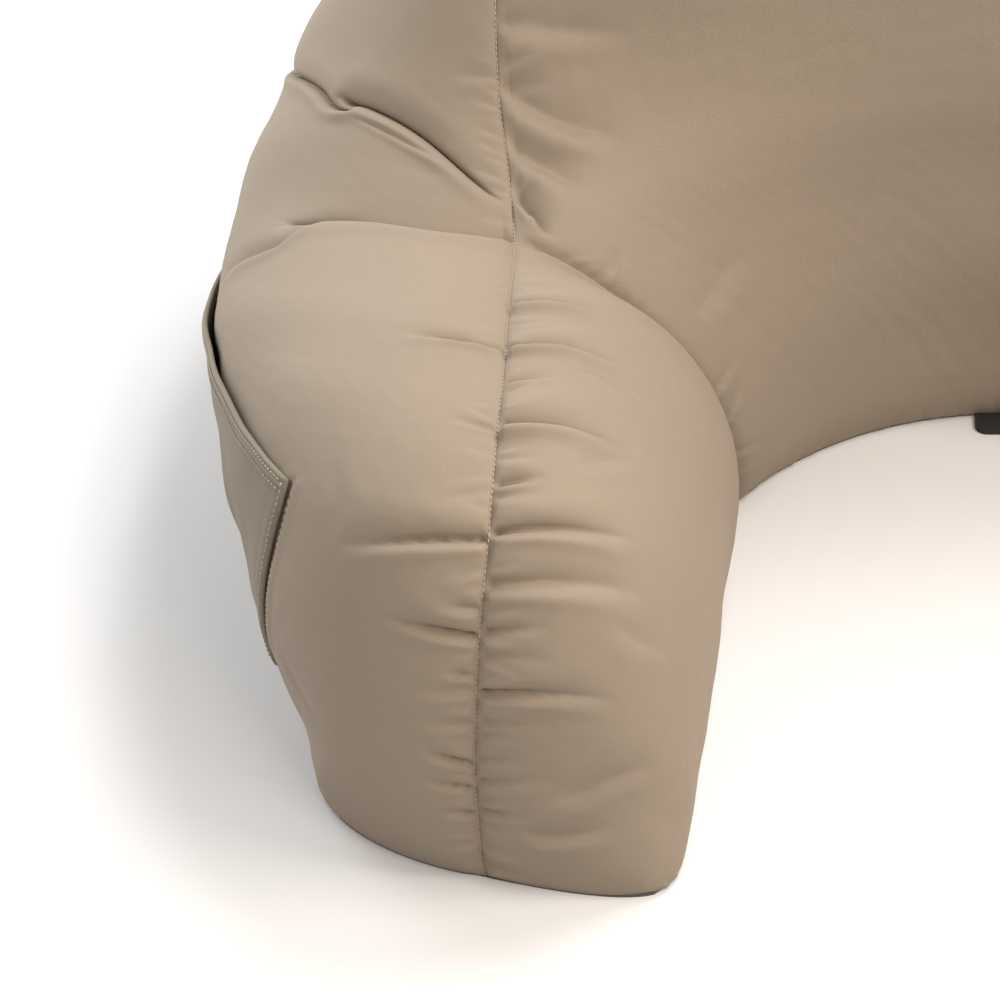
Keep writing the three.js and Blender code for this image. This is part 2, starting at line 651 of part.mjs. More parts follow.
// The pull tab lies on the floor just in front of the base's front seam.
function pullTab() {
  const middle = (front[0].length - 1) / 2;
  const column = front.map((row) => row[middle]);
  const above = column.findIndex((point) => point.z > TAB_THICKNESS);
  const share = (TAB_THICKNESS - column[above - 1].z) / (column[above].z - column[above - 1].z);
  const rearFace = column[above - 1].clone().lerp(column[above], share).y + TAB_GAP;
  const outline = new THREE.Shape();
  const half = TAB_WIDTH / 2;
  outline.moveTo(-half, 0);
  outline.lineTo(half, 0);
  outline.lineTo(half, TAB_CORNER - TAB_REACH);
  outline.absarc(half - TAB_CORNER, TAB_CORNER - TAB_REACH, TAB_CORNER, 0, -Math.PI / 2, true);
  outline.lineTo(TAB_CORNER - half, -TAB_REACH);
  outline.absarc(TAB_CORNER - half, TAB_CORNER - TAB_REACH, TAB_CORNER, -Math.PI / 2, -Math.PI, true);
  const cut = { depth: TAB_THICKNESS, bevelEnabled: false, curveSegments: TAB_CURVE_STEPS };
  const geometry = new THREE.ExtrudeGeometry(outline, cut);
  geometry.deleteAttribute('uv');
  geometry.deleteAttribute('normal');
  geometry.translate(0, DEPTH_MIDDLE - rearFace, 0);
  return clothMesh('base_tab', mergeVertices(geometry, MERGE_DISTANCE), TAB_COLOUR);
}

const backrestPillow = new THREE.Group();
backrestPillow.add(cushion());
backrestPillow.add(pocket('pocket_left', LEFT));
backrestPillow.add(pocket('pocket_right', RIGHT));
backrestPillow.add(pullTab());

export default backrestPillow;
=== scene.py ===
"""Looks of the backrest pillow: sewn panels, patch pockets, stitching and a pull tab.

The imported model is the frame. Its cushion is one body; here it is dressed as the cloth panels
that it is sewn from. Points are worked out in millimetres as (out, forward, up), where out is
the distance from the centre plane, forward is measured from the front of the base between the
arms and up is the height over the floor, and are then placed in the model's metres.
"""
import logging
import math
from dataclasses import dataclass
from enum import Enum
from typing import Callable, NamedTuple, Sequence

import bpy
import numpy as np
from mathutils import Matrix, Vector


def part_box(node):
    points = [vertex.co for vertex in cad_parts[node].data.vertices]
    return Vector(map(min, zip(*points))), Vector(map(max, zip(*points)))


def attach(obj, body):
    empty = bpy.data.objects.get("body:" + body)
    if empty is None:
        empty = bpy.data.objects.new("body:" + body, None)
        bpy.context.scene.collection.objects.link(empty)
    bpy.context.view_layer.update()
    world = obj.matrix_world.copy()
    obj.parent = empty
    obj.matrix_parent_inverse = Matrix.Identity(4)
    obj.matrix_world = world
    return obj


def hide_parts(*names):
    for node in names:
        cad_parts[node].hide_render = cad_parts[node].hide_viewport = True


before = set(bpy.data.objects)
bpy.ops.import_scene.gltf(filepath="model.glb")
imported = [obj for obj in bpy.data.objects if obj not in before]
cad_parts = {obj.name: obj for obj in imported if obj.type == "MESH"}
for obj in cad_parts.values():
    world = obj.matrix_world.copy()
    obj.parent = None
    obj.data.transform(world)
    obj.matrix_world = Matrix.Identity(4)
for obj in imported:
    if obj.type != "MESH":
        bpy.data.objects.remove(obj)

log = logging.getLogger("backrest")

MILLIMETRE = 0.001
DEPTH_MIDDLE = 55.8

# Row places on the side panel: the foot of the arm is 0.
ELBOW = 10
REAR_FOOT = 14
SHOULDER = 19
TOP_MIDDLE = 22

# Shares that shape the grids of the panels.
EDGE_CROWDING = 0.09
MIDDLE_SHARE = 0.75
TOP_EDGE_FADE = 0.35

# How softly a point's place on a fold is read, as a share of the fold's squared width.
FOLD_BLEND = 0.3

# Widths of the narrow lines in the cloth, in millimetres.
SLIT_WIDTH = 1.1
ROLL_PEAK = 1.6
ROLL_WIDTH = 9.0
SEAM_FADE = 5.0
RIM_EASE = 4.0

# Least height of the cloth and of its hidden inner wall over the floor, in millimetres.
CLOTH_FLOOR = 0.2
WALL_FLOOR = 0.3

# Samples along a curve, neighbours taken into an average, and rounds of smoothing.
FINE_STEPS = 6000
EDGE_SAMPLES = 400
TUCK_SAMPLES = 240
TOP_SAMPLES = 200
FOOT_COLUMNS = 80
FOLD_SAMPLES = 90
LINE_REACH = 5
NORMAL_REACH = 12
ROW_PASSES = 30
CALM_PASSES = 14

Point = tuple[float, float, float]


class Side(Enum):
    """Half of the pillow, as the sign of its X."""

    LEFT = -1
    RIGHT = 1

    @property
    def word(self) -> str:
        """The side as it stands in the names of its pieces."""
        return self.name.lower()


class Border(Enum):
    """Sewn border of a panel that gathers start from."""

    START = "start"
    END = "end"
    FIRST = "first"
    LAST = "last"


class Section(NamedTuple):
    """Section of a panel from one seam to the other, in millimetres."""

    seam: Point
    leave: Point
    arrive: Point
    edge: Point


class InnerSection(NamedTuple):
    """Section of an inner arm panel, from the side panel's seam down to the seat."""

    leave: Point
    arrive: Point
    edge: Point


class SpanSection(NamedTuple):
    """Section of a panel of the back, from one side to the other."""

    at: float
    reach: float
    middle: tuple[float, float]


class Gather(NamedTuple):
    """A gather or crease that starts at a seam, in millimetres.

    at is its place on the seam and drift how far its end has moved, both in rows; reach is its
    length, depth and width are the size of its trough, and lip is the ridge beside it. slit is
    the depth of the tight line at its bottom.
    """

    at: float
    reach: float
    drift: float
    depth: float
    width: float
    lip: float
    slit: float = 0.0


class Fold(NamedTuple):
    """A fold in the cloth along a path of (row place, share across).

    The cloth falls slowly into it on the side of the higher rows, over about width, and rises
    steeply on the other side to a ridge of lip times its depth. opening and closing are the
    shares of the path over which it deepens from its start and dies out at its end. slit is the
    depth of the tight line at its bottom, and overlap is how far the upper cloth hangs over it.
    """

    path: tuple[tuple[float, float], ...]
    depth: float
    width: float
    lip: float
    opening: float = 0.3
    slit: float = 0.0
    overlap: float = 0.0
    closing: float = 0.45


SIDE_ROWS: list[Section] = [
    Section((211, 315, 0), (24, -3, 0), (-6, 24, 0), (281, 268, 0)),
    Section((212, 316, 24), (34, 2, 3), (3, 24, 15), (284, 250, 0)),
    Section((212, 316, 52), (52, 4, 4), (4, 34, 34), (286, 230, 0)),
    Section((209, 316, 97), (64, 4, 6), (17, 44, 62), (290, 205, 0)),
    Section((205, 312, 136), (72, 2, 8), (31, 40, 84), (294, 178, 0)),
    Section((201, 296, 167), (80, -4, 10), (44, 32, 100), (298, 150, 0)),
    Section((200, 265, 183), (86, -6, 10), (58, 22, 110), (303, 118, 0)),
    Section((200, 234, 187), (90, -8, 8), (65, 14, 112), (306, 88, 0)),
    Section((201, 201, 186), (92, -10, 8), (76, 8, 110), (308, 58, 0)),
    Section((203, 155, 179), (94, -12, 8), (87, 4, 106), (309, 24, 0)),
    Section((206, 99, 168), (92, -16, 16), (92, 0, 106), (308, -16, 0)),
    Section((211, 62, 184), (92, -24, 20), (88, -2, 104), (304, -62, 0)),
    Section((215, 41, 206), (92, -28, 18), (80, -8, 96), (295, -108, 0)),
    Section((216, 26, 232), (96, -32, 14), (80, -12, 86), (279, -148, 0)),
    Section((216, 10, 262), (90, -36, 6), (78, -6, 70), (254, -174, 0)),
    Section((212, -6, 300), (76, -40, 0), (66, 10, 44), (250, -178, 64)),
    Section((206, -20, 340), (56, -40, -2), (52, 22, 30), (240, -178, 142)),
    Section((196, -34, 384), (44, -40, 0), (44, 28, 24), (222, -172, 232)),
    Section((180, -45, 424), (32, -38, 8), (36, 30, 24), (198, -165, 320)),
    Section((152, -54, 458), (20, -36, 16), (26, 32, 24), (164, -158, 400)),
    Section((110, -60, 481), (10, -34, 22), (14, 32, 26), (117, -154, 446)),
    Section((58, -63, 491), (3, -34, 24), (5, 32, 28), (61, -151, 467)),
    Section((0, -64, 494), (0, -34, 24), (0, 32, 28), (0, -150, 473)),
]

INNER_ROWS: list[InnerSection] = [
    InnerSection((-24, 8, 0), (14, 5, 0), (141, 325, 0)),
    InnerSection((-38, 6, 2), (0, 13, 10), (133, 314, 0)),
    InnerSection((-50, 6, 4), (-3, 26, 30), (131, 294, 0)),
    InnerSection((-58, 4, 6), (-8, 38, 54), (131, 266, 0)),
    InnerSection((-60, 0, 8), (-13, 38, 74), (130, 237, 0)),
    InnerSection((-60, -5, 9), (-17, 30, 88), (129, 209, 0)),
    InnerSection((-60, -8, 8), (-20, 23, 96), (128, 181, 0)),
    InnerSection((-60, -10, 6), (-22, 17, 98), (127, 154, 0)),
    InnerSection((-60, -11, 5), (-23, 12, 96), (125, 127, 0)),
    InnerSection((-58, -9, 2), (-22, 9, 84), (123, 99, 0)),
    InnerSection((-46, 2, -18), (-20, 20, 62), (121, 69, 0)),
]

FRONT_ROWS: list[SpanSection] = [
    SpanSection(9, 60, (0, 0)),
    SpanSection(9.25, 52, (7, 46)),
    SpanSection(9.5, 56, (11, 92)),
    SpanSection(9.75, 74, (12, 134)),
    SpanSection(10, 92, (12, 166)),
    SpanSection(11, 98, (10, 193)),
    SpanSection(12, 98, (8, 220)),
    SpanSection(13, 96, (5, 250)),
    SpanSection(14, 92, (1, 285)),
    SpanSection(15, 88, (-4, 326)),
    SpanSection(16, 84, (-10, 370)),
    SpanSection(17, 78, (-18, 414)),
    SpanSection(18, 72, (-30, 456)),
    SpanSection(19, 66, (-44, 490)),
]

REAR_ROWS: list[SpanSection] = [
    SpanSection(14, 84, (-190, 0)),
    SpanSection(15, 84, (-207, 78)),
    SpanSection(16, 82, (-209, 168)),
    SpanSection(17, 76, (-204, 266)),
    SpanSection(18, 70, (-190, 366)),
    SpanSection(19, 66, (-164, 464)),
]

SIDE_GATHERS: dict[Side, list[Gather]] = {
    Side.LEFT: [
        Gather(7.95, 44, -0.1, 3.2, 3.2, 0.6, 2.6),
        Gather(6.35, 20, 0.0, 2.0, 2.6, 0.4, 1.0),
        Gather(4.9, 64, -0.25, 4.5, 5, 0.5, 2.4),
        Gather(4.12, 18, 0.03, 2.2, 3.2, 0.5, 0.6),
        Gather(3.76, 40, 0.2, 3.6, 4.0, 0.5, 2.6),
        Gather(3.3, 14, 0.06, 2, 2.6, 0.5, 1.4),
        Gather(3.12, 30, 0.0, 1.8, 4, 0.4),
        Gather(2.74, 24, 0.0, 2, 4, 0.5),
        Gather(2.26, 22, 0.2, 2.8, 3.2, 0.6, 1.6),
        Gather(1.92, 22, 0.2, 2.4, 3, 0.5, 0.8),
        Gather(1.46, 16, 0.1, 2.2, 2.6, 0.5, 0.8),
    ],
    Side.RIGHT: [
        Gather(8.4, 34, -0.1, 3.5, 4, 0.5, 1.5),
        Gather(7.0, 52, 0.2, 4, 5, 0.5, 1.5),
        Gather(5.6, 30, 0.0, 3, 4, 0.4),
        Gather(4.3, 58, -0.2, 4.5, 5, 0.5, 2.0),
        Gather(3.5, 20, 0.0, 2.2, 3.4, 0.5, 1.0),
        Gather(3.0, 32, 0.1, 3, 4, 0.5, 1.0),
        Gather(2.4, 22, 0.1, 2.4, 3.2, 0.5),
        Gather(1.9, 24, 0.1, 3, 4, 0.4, 0.8),
    ],
}

INNER_GATHERS: dict[Side, list[Gather]] = {
    Side.LEFT: [
        Gather(8.76, 64, -0.3, 6.0, 4.5, 0.7, 3.0),
        Gather(7.95, 58, -0.3, 5.6, 4.2, 0.7, 3.0),
        Gather(7.25, 24, -0.05, 2.2, 3.2, 0.6, 0.8),
        Gather(6.4, 64, -0.25, 6.5, 6.0, 0.7, 2.6),
        Gather(5.55, 22, 0.0, 2.6, 3.0, 0.5, 1.2),
        Gather(4.97, 62, 0.05, 4.4, 4.2, 0.6, 2.8),
        Gather(4.36, 70, 0.14, 4.2, 6, 0.5),
        Gather(3.8, 28, 0.16, 3, 5, 0.5, 0.5),
        Gather(3.56, 30, 0.0, 1.5, 4, 0.4),
        Gather(3.08, 58, 0.2, 3.6, 4.5, 0.6, 1.4),
        Gather(2.74, 32, 0.1, 2.2, 4, 0.4),
        Gather(2.32, 22, 0.1, 2.2, 3.4, 0.4),
        Gather(2.04, 34, 0.2, 2.2, 4, 0.4),
        Gather(1.5, 26, 0.16, 2, 3.4, 0.5),
    ],
    Side.RIGHT: [
        Gather(8.9, 60, -0.4, 4.0, 4.5, 0.6, 1.2),
        Gather(7.6, 55, -0.2, 4.4, 5, 0.5, 1.4),
        Gather(6.5, 34, 0.0, 3, 4.5, 0.5),
        Gather(5.3, 62, 0.1, 4.5, 5, 0.6, 1.6),
        Gather(4.2, 30, 0.0, 2.5, 4.5, 0.5),
        Gather(3.3, 50, 0.1, 4, 5, 0.5, 1.0),
        Gather(2.3, 30, 0.1, 2.5, 4.5, 0.5),
    ],
}

POCKET_GROOVE = Fold(((5.38, 0.38), (4.86, 0.44), (4.34, 0.522), (3.81, 0.615), (3.29, 0.716)),
                     2.0, 2.4, 0.7, 0.0, 0.8, 0.0, 0.2)

SIDE_FOLDS: dict[Side, list[Fold]] = {
    Side.LEFT: [
        Fold(((10.42, 0.005), (10.5, 0.03), (10.72, 0.075), (11.04, 0.135), (11.26, 0.19),
              (11.46, 0.26), (11.54, 0.285)), 5.8, 4.6, 0.4, 0.5, 5.5, 1.8, 0.12),
        Fold(((10.6, 0.05), (10.84, 0.145), (11.08, 0.22), (11.2, 0.26)),
             0.9, 2.0, 0.4, 0.4, 1.0),
        Fold(((11.3, 0.265), (11.36, 0.3), (11.62, 0.335), (11.9, 0.39), (12.2, 0.46),
              (12.8, 0.57), (13.2, 0.64)), 4.6, 3.8, 0.35, 0.0, 5.5, 1.6, 0.5),
        Fold(((10.04, 0), (9.92, 0.07), (9.86, 0.145), (9.86, 0.245), (9.84, 0.36),
              (9.78, 0.45)), 8.5, 8.0, 0.25, 0.0, 2.2, 0.8),
        Fold(((9.86, 0.24), (9.86, 0.28), (9.84, 0.33), (9.82, 0.37), (9.94, 0.425)),
             1.6, 2.5, 0.4, 0.3, 4.0),
        Fold(((9.84, 0.3), (9.68, 0.355), (9.52, 0.42), (9.5, 0.535), (9.36, 0.64)),
             2.8, 4.0, 0.4),
        POCKET_GROOVE,
        Fold(((2.6, 0.5), (3.0, 0.57), (3.6, 0.6)), 0.9, 6, 0.5),
        Fold(((4.6, 0.3), (5.2, 0.27), (5.8, 0.28)), 0.7, 8, 0.5),
        Fold(((13.4, 0.22), (14.2, 0.36), (15.0, 0.52)), 1.6, 9, 0.5),
        Fold(((16.5, 0.3), (17.0, 0.44), (17.6, 0.55)), 1.1, 8, 0.5),
    ],
    Side.RIGHT: [
        Fold(((10.5, 0.005), (10.6, 0.04), (10.9, 0.1), (11.3, 0.17), (11.6, 0.26),
              (11.9, 0.33)), 5.6, 4.8, 0.4, 0.4, 4.0, 1.6, 0.2),
        Fold(((10.08, 0), (10.0, 0.08), (9.98, 0.17), (10.0, 0.28), (10.1, 0.42)),
             7.0, 8.0, 0.25, 0.0, 1.2, 0.8),
        Fold(((9.9, 0.3), (9.66, 0.4), (9.5, 0.55), (9.3, 0.64)), 2.4, 4.5, 0.4),
        POCKET_GROOVE,
        Fold(((3.0, 0.5), (3.5, 0.54), (4.1, 0.6)), 0.9, 6, 0.5),
        Fold(((6.2, 0.32), (6.8, 0.3), (7.4, 0.34)), 0.7, 8, 0.5),
        Fold(((13.1, 0.26), (13.9, 0.36), (14.8, 0.45)), 1.6, 9, 0.5),
        Fold(((17.0, 0.3), (17.6, 0.42), (18.2, 0.5)), 1.1, 8, 0.5),
    ],
}

INNER_FOLDS: dict[Side, list[Fold]] = {
    Side.LEFT: [
        Fold(((1.28, 0.13), (1.3, 0.21), (1.38, 0.285), (1.58, 0.38), (1.78, 0.48)),
             2.6, 5, 0.6),
        Fold(((1.92, 0.2), (2.12, 0.31), (2.3, 0.375), (2.58, 0.485), (2.78, 0.58)),
             2.4, 6, 0.6),
        Fold(((7.5, 0.16), (7.42, 0.195), (7.2, 0.3), (7.05, 0.36)), 1.8, 5, 0.5),
        Fold(((5.68, 0.17), (5.74, 0.215), (5.94, 0.305), (6.0, 0.36)), 1.6, 4.5, 0.5),
        Fold(((4.2, 0.3), (4.0, 0.42), (4.1, 0.55)), 0.7, 6, 0.5),
    ],
    Side.RIGHT: [
        Fold(((1.9, 0.28), (2.1, 0.42), (2.2, 0.6)), 2.0, 4.5, 0.5),
        Fold(((2.8, 0.35), (2.9, 0.5), (3.1, 0.62)), 1.2, 5, 0.5),
        Fold(((6.4, 0.28), (6.2, 0.4), (6.3, 0.5)), 1.0, 5, 0.5),
    ],
}

FRONT_FOLDS: list[Fold] = [
    Fold(((12.95, 0), (12.63, 0.079), (12.33, 0.167)), 2.4, 7, 0.6, 0.0),
    Fold(((12.02, 0), (11.87, 0.015), (11.5, 0.045), (11.25, 0.066), (11.0, 0.094),
          (10.78, 0.12), (10.5, 0.15)), 5.0, 8, 0.6, 0.0),
    Fold(((11.28, 0), (11.1, 0.01), (10.9, 0.025), (10.7, 0.042), (10.51, 0.058),
          (10.25, 0.079), (9.99, 0.099)), 5.0, 7.5, 0.6, 0.0),
    Fold(((10.64, 0), (10.51, 0.006), (10.35, 0.015), (10.09, 0.025), (9.97, 0.022),
          (9.92, 0.014)), 6.0, 4.2, 0.5, 0.0, 0.8),
    Fold(((12.7, 1), (12.2, 0.93), (11.8, 0.84)), 3.4, 8, 0.6, 0.0),
    Fold(((11.6, 1), (11.1, 0.94), (10.6, 0.88)), 4.6, 8, 0.6, 0.0),
    Fold(((10.9, 1), (10.4, 0.965), (10.0, 0.92), (9.86, 0.88)), 4.6, 8, 0.6, 0.0),
    Fold(((10.5, 1), (10.24, 0.986), (9.96, 0.965), (9.8, 0.94)), 4.2, 4.6, 0.5, 0.0, 2.6),
    Fold(((9.55, 0.05), (9.62, 0.12), (9.7, 0.2)), 1.6, 9, 0.5),
    Fold(((9.5, 0.95), (9.6, 0.88), (9.66, 0.8)), 1.6, 9, 0.5),
    Fold(((13.6, 0.1), (13.3, 0.22), (12.9, 0.34)), 1.8, 12, 0.5),
    Fold(((13.9, 0.9), (13.5, 0.8), (13.2, 0.7)), 1.8, 12, 0.5),
    Fold(((17.4, 0.2), (17.0, 0.32), (16.6, 0.42)), 1.1, 12, 0.5),
    Fold(((17.0, 0.82), (16.8, 0.7), (16.5, 0.6)), 1.0, 12, 0.5),
]

REAR_FOLDS: list[Fold] = [
    Fold(((14.9, 0.14), (15.2, 0.24), (15.5, 0.36)), 1.4, 12, 0.5),
    Fold(((15.2, 0.88), (15.5, 0.78), (15.9, 0.66)), 1.4, 12, 0.5),
    Fold(((17.6, 0.2), (17.4, 0.33), (17.1, 0.45)), 1.0, 11, 0.5),
]

# Edges of a pocket on its side panel, as (row place, share across).
POCKET_TOP = np.array([(5.4, 0.388), (5.75, 0.443), (6.3, 0.505), (7.2, 0.562), (8.4, 0.622),
                       (9.5, 0.688), (10.4, 0.738)])
POCKET_BOTTOM = np.array([(3.3, 0.72), (4.9, 0.85), (6.8, 0.93), (10.4, 0.94)])


def between(knots: Sequence[float], values: np.ndarray, x: np.ndarray) -> np.ndarray:
    """Values between the rows of a table: smooth, and never beyond the rows on either side.

    Args:
        knots: Place of each row.
        values: Row values, one row for each knot.
        x: Places to read.

    Returns:
        A row of values for each place.
    """
    knots = np.asarray(knots, float)
    values = np.asarray(values, float)
    flat = values.reshape(len(knots), -1)
    steps = np.diff(knots)[:, None]
    slopes = np.diff(flat, axis=0) / steps
    product = slopes[:-1] * slopes[1:]
    total = slopes[:-1] + slopes[1:]
    inner = np.where(product > 0, 2 * product / np.where(product > 0, total, 1), 0)
    tangents = np.vstack([slopes[:1], inner, slopes[-1:]])
    i = np.clip(np.searchsorted(knots, x, side="left") - 1, 0, len(knots) - 2)
    span = steps[i]
    t = ((x - knots[i]) / span[:, 0])[:, None]
    result = ((2 * t**3 - 3 * t**2 + 1) * flat[i] + (t**3 - 2 * t**2 + t) * span * tangents[i]
              + (3 * t**2 - 2 * t**3) * flat[i + 1] + (t**3 - t**2) * span * tangents[i + 1])
    return result.reshape((len(x),) + values.shape[1:])


def bezier(start: np.ndarray, leave: np.ndarray, arrive: np.ndarray, end: np.ndarray,
           across: np.ndarray) -> np.ndarray:
    """Section curves of cloth, one for each row.

    Args:
        start: Start points, a row each.
        leave: Reach of the cloth from the start.
        arrive: Reach of the cloth from the end.
        end: End points.
        across: Places across, from 0 to 1.

    Returns:
        Points with a row for each curve and a column for each place.
    """
    t = across[None, :, None]
    corners = [start, start + leave, end + arrive, end]
    shares = [(1 - t)**3, 3 * (1 - t)**2 * t, 3 * (1 - t) * t**2, t**3]
    return sum(share * corner[:, None, :] for share, corner in zip(shares, corners))


def running(points: np.ndarray, axis: int) -> np.ndarray:
    """Length along the rows or columns of a grid, from its border to each point.

    Args:
        points: Points of the grid.
        axis: Axis to measure along.

    Returns:
        The lengths, in the grid's shape.
    """
    steps = np.linalg.norm(np.diff(points, axis=axis), axis=-1)
    first = np.zeros_like(np.take(steps, [0], axis=axis))
    return np.cumsum(np.concatenate([first, steps], axis=axis), axis=axis)


def crowded(count: int) -> np.ndarray:
    """Places from 0 to 1, drawn a little towards both ends."""
    even = np.linspace(0, 1, count + 1)
    return even - EDGE_CROWDING * np.sin(2 * np.pi * even)


def smooth_step(x: np.ndarray) -> np.ndarray:
    """Ease from 0 to 1 as x goes from 0 to 1."""
    x = np.clip(x, 0, 1)
    return x * x * (3 - 2 * x)


def relaxed(points: np.ndarray, passes: int, axes: Sequence[int] = (0, 1)) -> np.ndarray:
    """Grid with its small steps smoothed away, its border left where it is.

    Args:
        points: Points of the grid.
        passes: Rounds of smoothing.
        axes: Directions of the grid to smooth along.

    Returns:
        The smoothed points.
    """
    points = points.copy()
    for _ in range(passes):
        for axis in axes:
            ahead, behind = np.roll(points, -1, axis), np.roll(points, 1, axis)
            mixed = 0.5 * points + 0.25 * (ahead + behind)
            points[1:-1, 1:-1] = mixed[1:-1, 1:-1]
    return points


def steadied(rows: np.ndarray, reach: int) -> np.ndarray:
    """Points or directions along a line, each averaged with its neighbours.

    Args:
        rows: A point or a direction in each row.
        reach: Neighbours taken on either side.

    Returns:
        The averages, in as many rows.
    """
    padded = np.pad(rows, ((reach, reach), (0, 0)), mode="edge")
    window = np.ones(2 * reach + 1) / (2 * reach + 1)
    return np.column_stack([np.convolve(padded[:, k], window, "valid") for k in range(3)])


def fold_profile(x: np.ndarray, lip: float) -> np.ndarray:
    """Height of the cloth across a fold of depth 1.

    Args:
        x: Distance from the fold in widths, above 0 on the side that falls slowly.
        lip: Height of the ridge on the steep side.

    Returns:
        The height at each distance.
    """
    reach = np.where(x > 0, 1.25, 0.45)
    trough = np.exp(-1.3 * (np.sqrt((x / reach)**2 + 0.02) - 0.141))
    ridge = np.exp(-((x + 1.05) ** 2) / 0.7) + 0.45 * np.exp(-((x - 2.4) ** 2) / 2.5)
    return lip * ridge - trough


def slit_profile(distance: np.ndarray) -> np.ndarray:
    """Share of a slit's depth at a distance from it, in millimetres."""
    return np.exp(-(np.abs(distance) / SLIT_WIDTH) ** 1.3)


def grid_quads(index: np.ndarray) -> np.ndarray:
    """Quads of a grid of point numbers, wound along its rows, then its columns.

    Args:
        index: Point numbers.

    Returns:
        The quads, four point numbers each.
    """
    corners = [index[:-1, :-1], index[1:, :-1], index[1:, 1:], index[:-1, 1:]]
    return np.stack(corners, -1).reshape(-1, 4)


def grid_border(index: np.ndarray) -> np.ndarray:
    """Border of a grid of point numbers, round in the order of its quads.

    Args:
        index: Point numbers.

    Returns:
        The numbers on its border.
    """
    return np.concatenate([index[:-1, 0], index[-1, :-1], index[:0:-1, -1], index[0, :0:-1]])


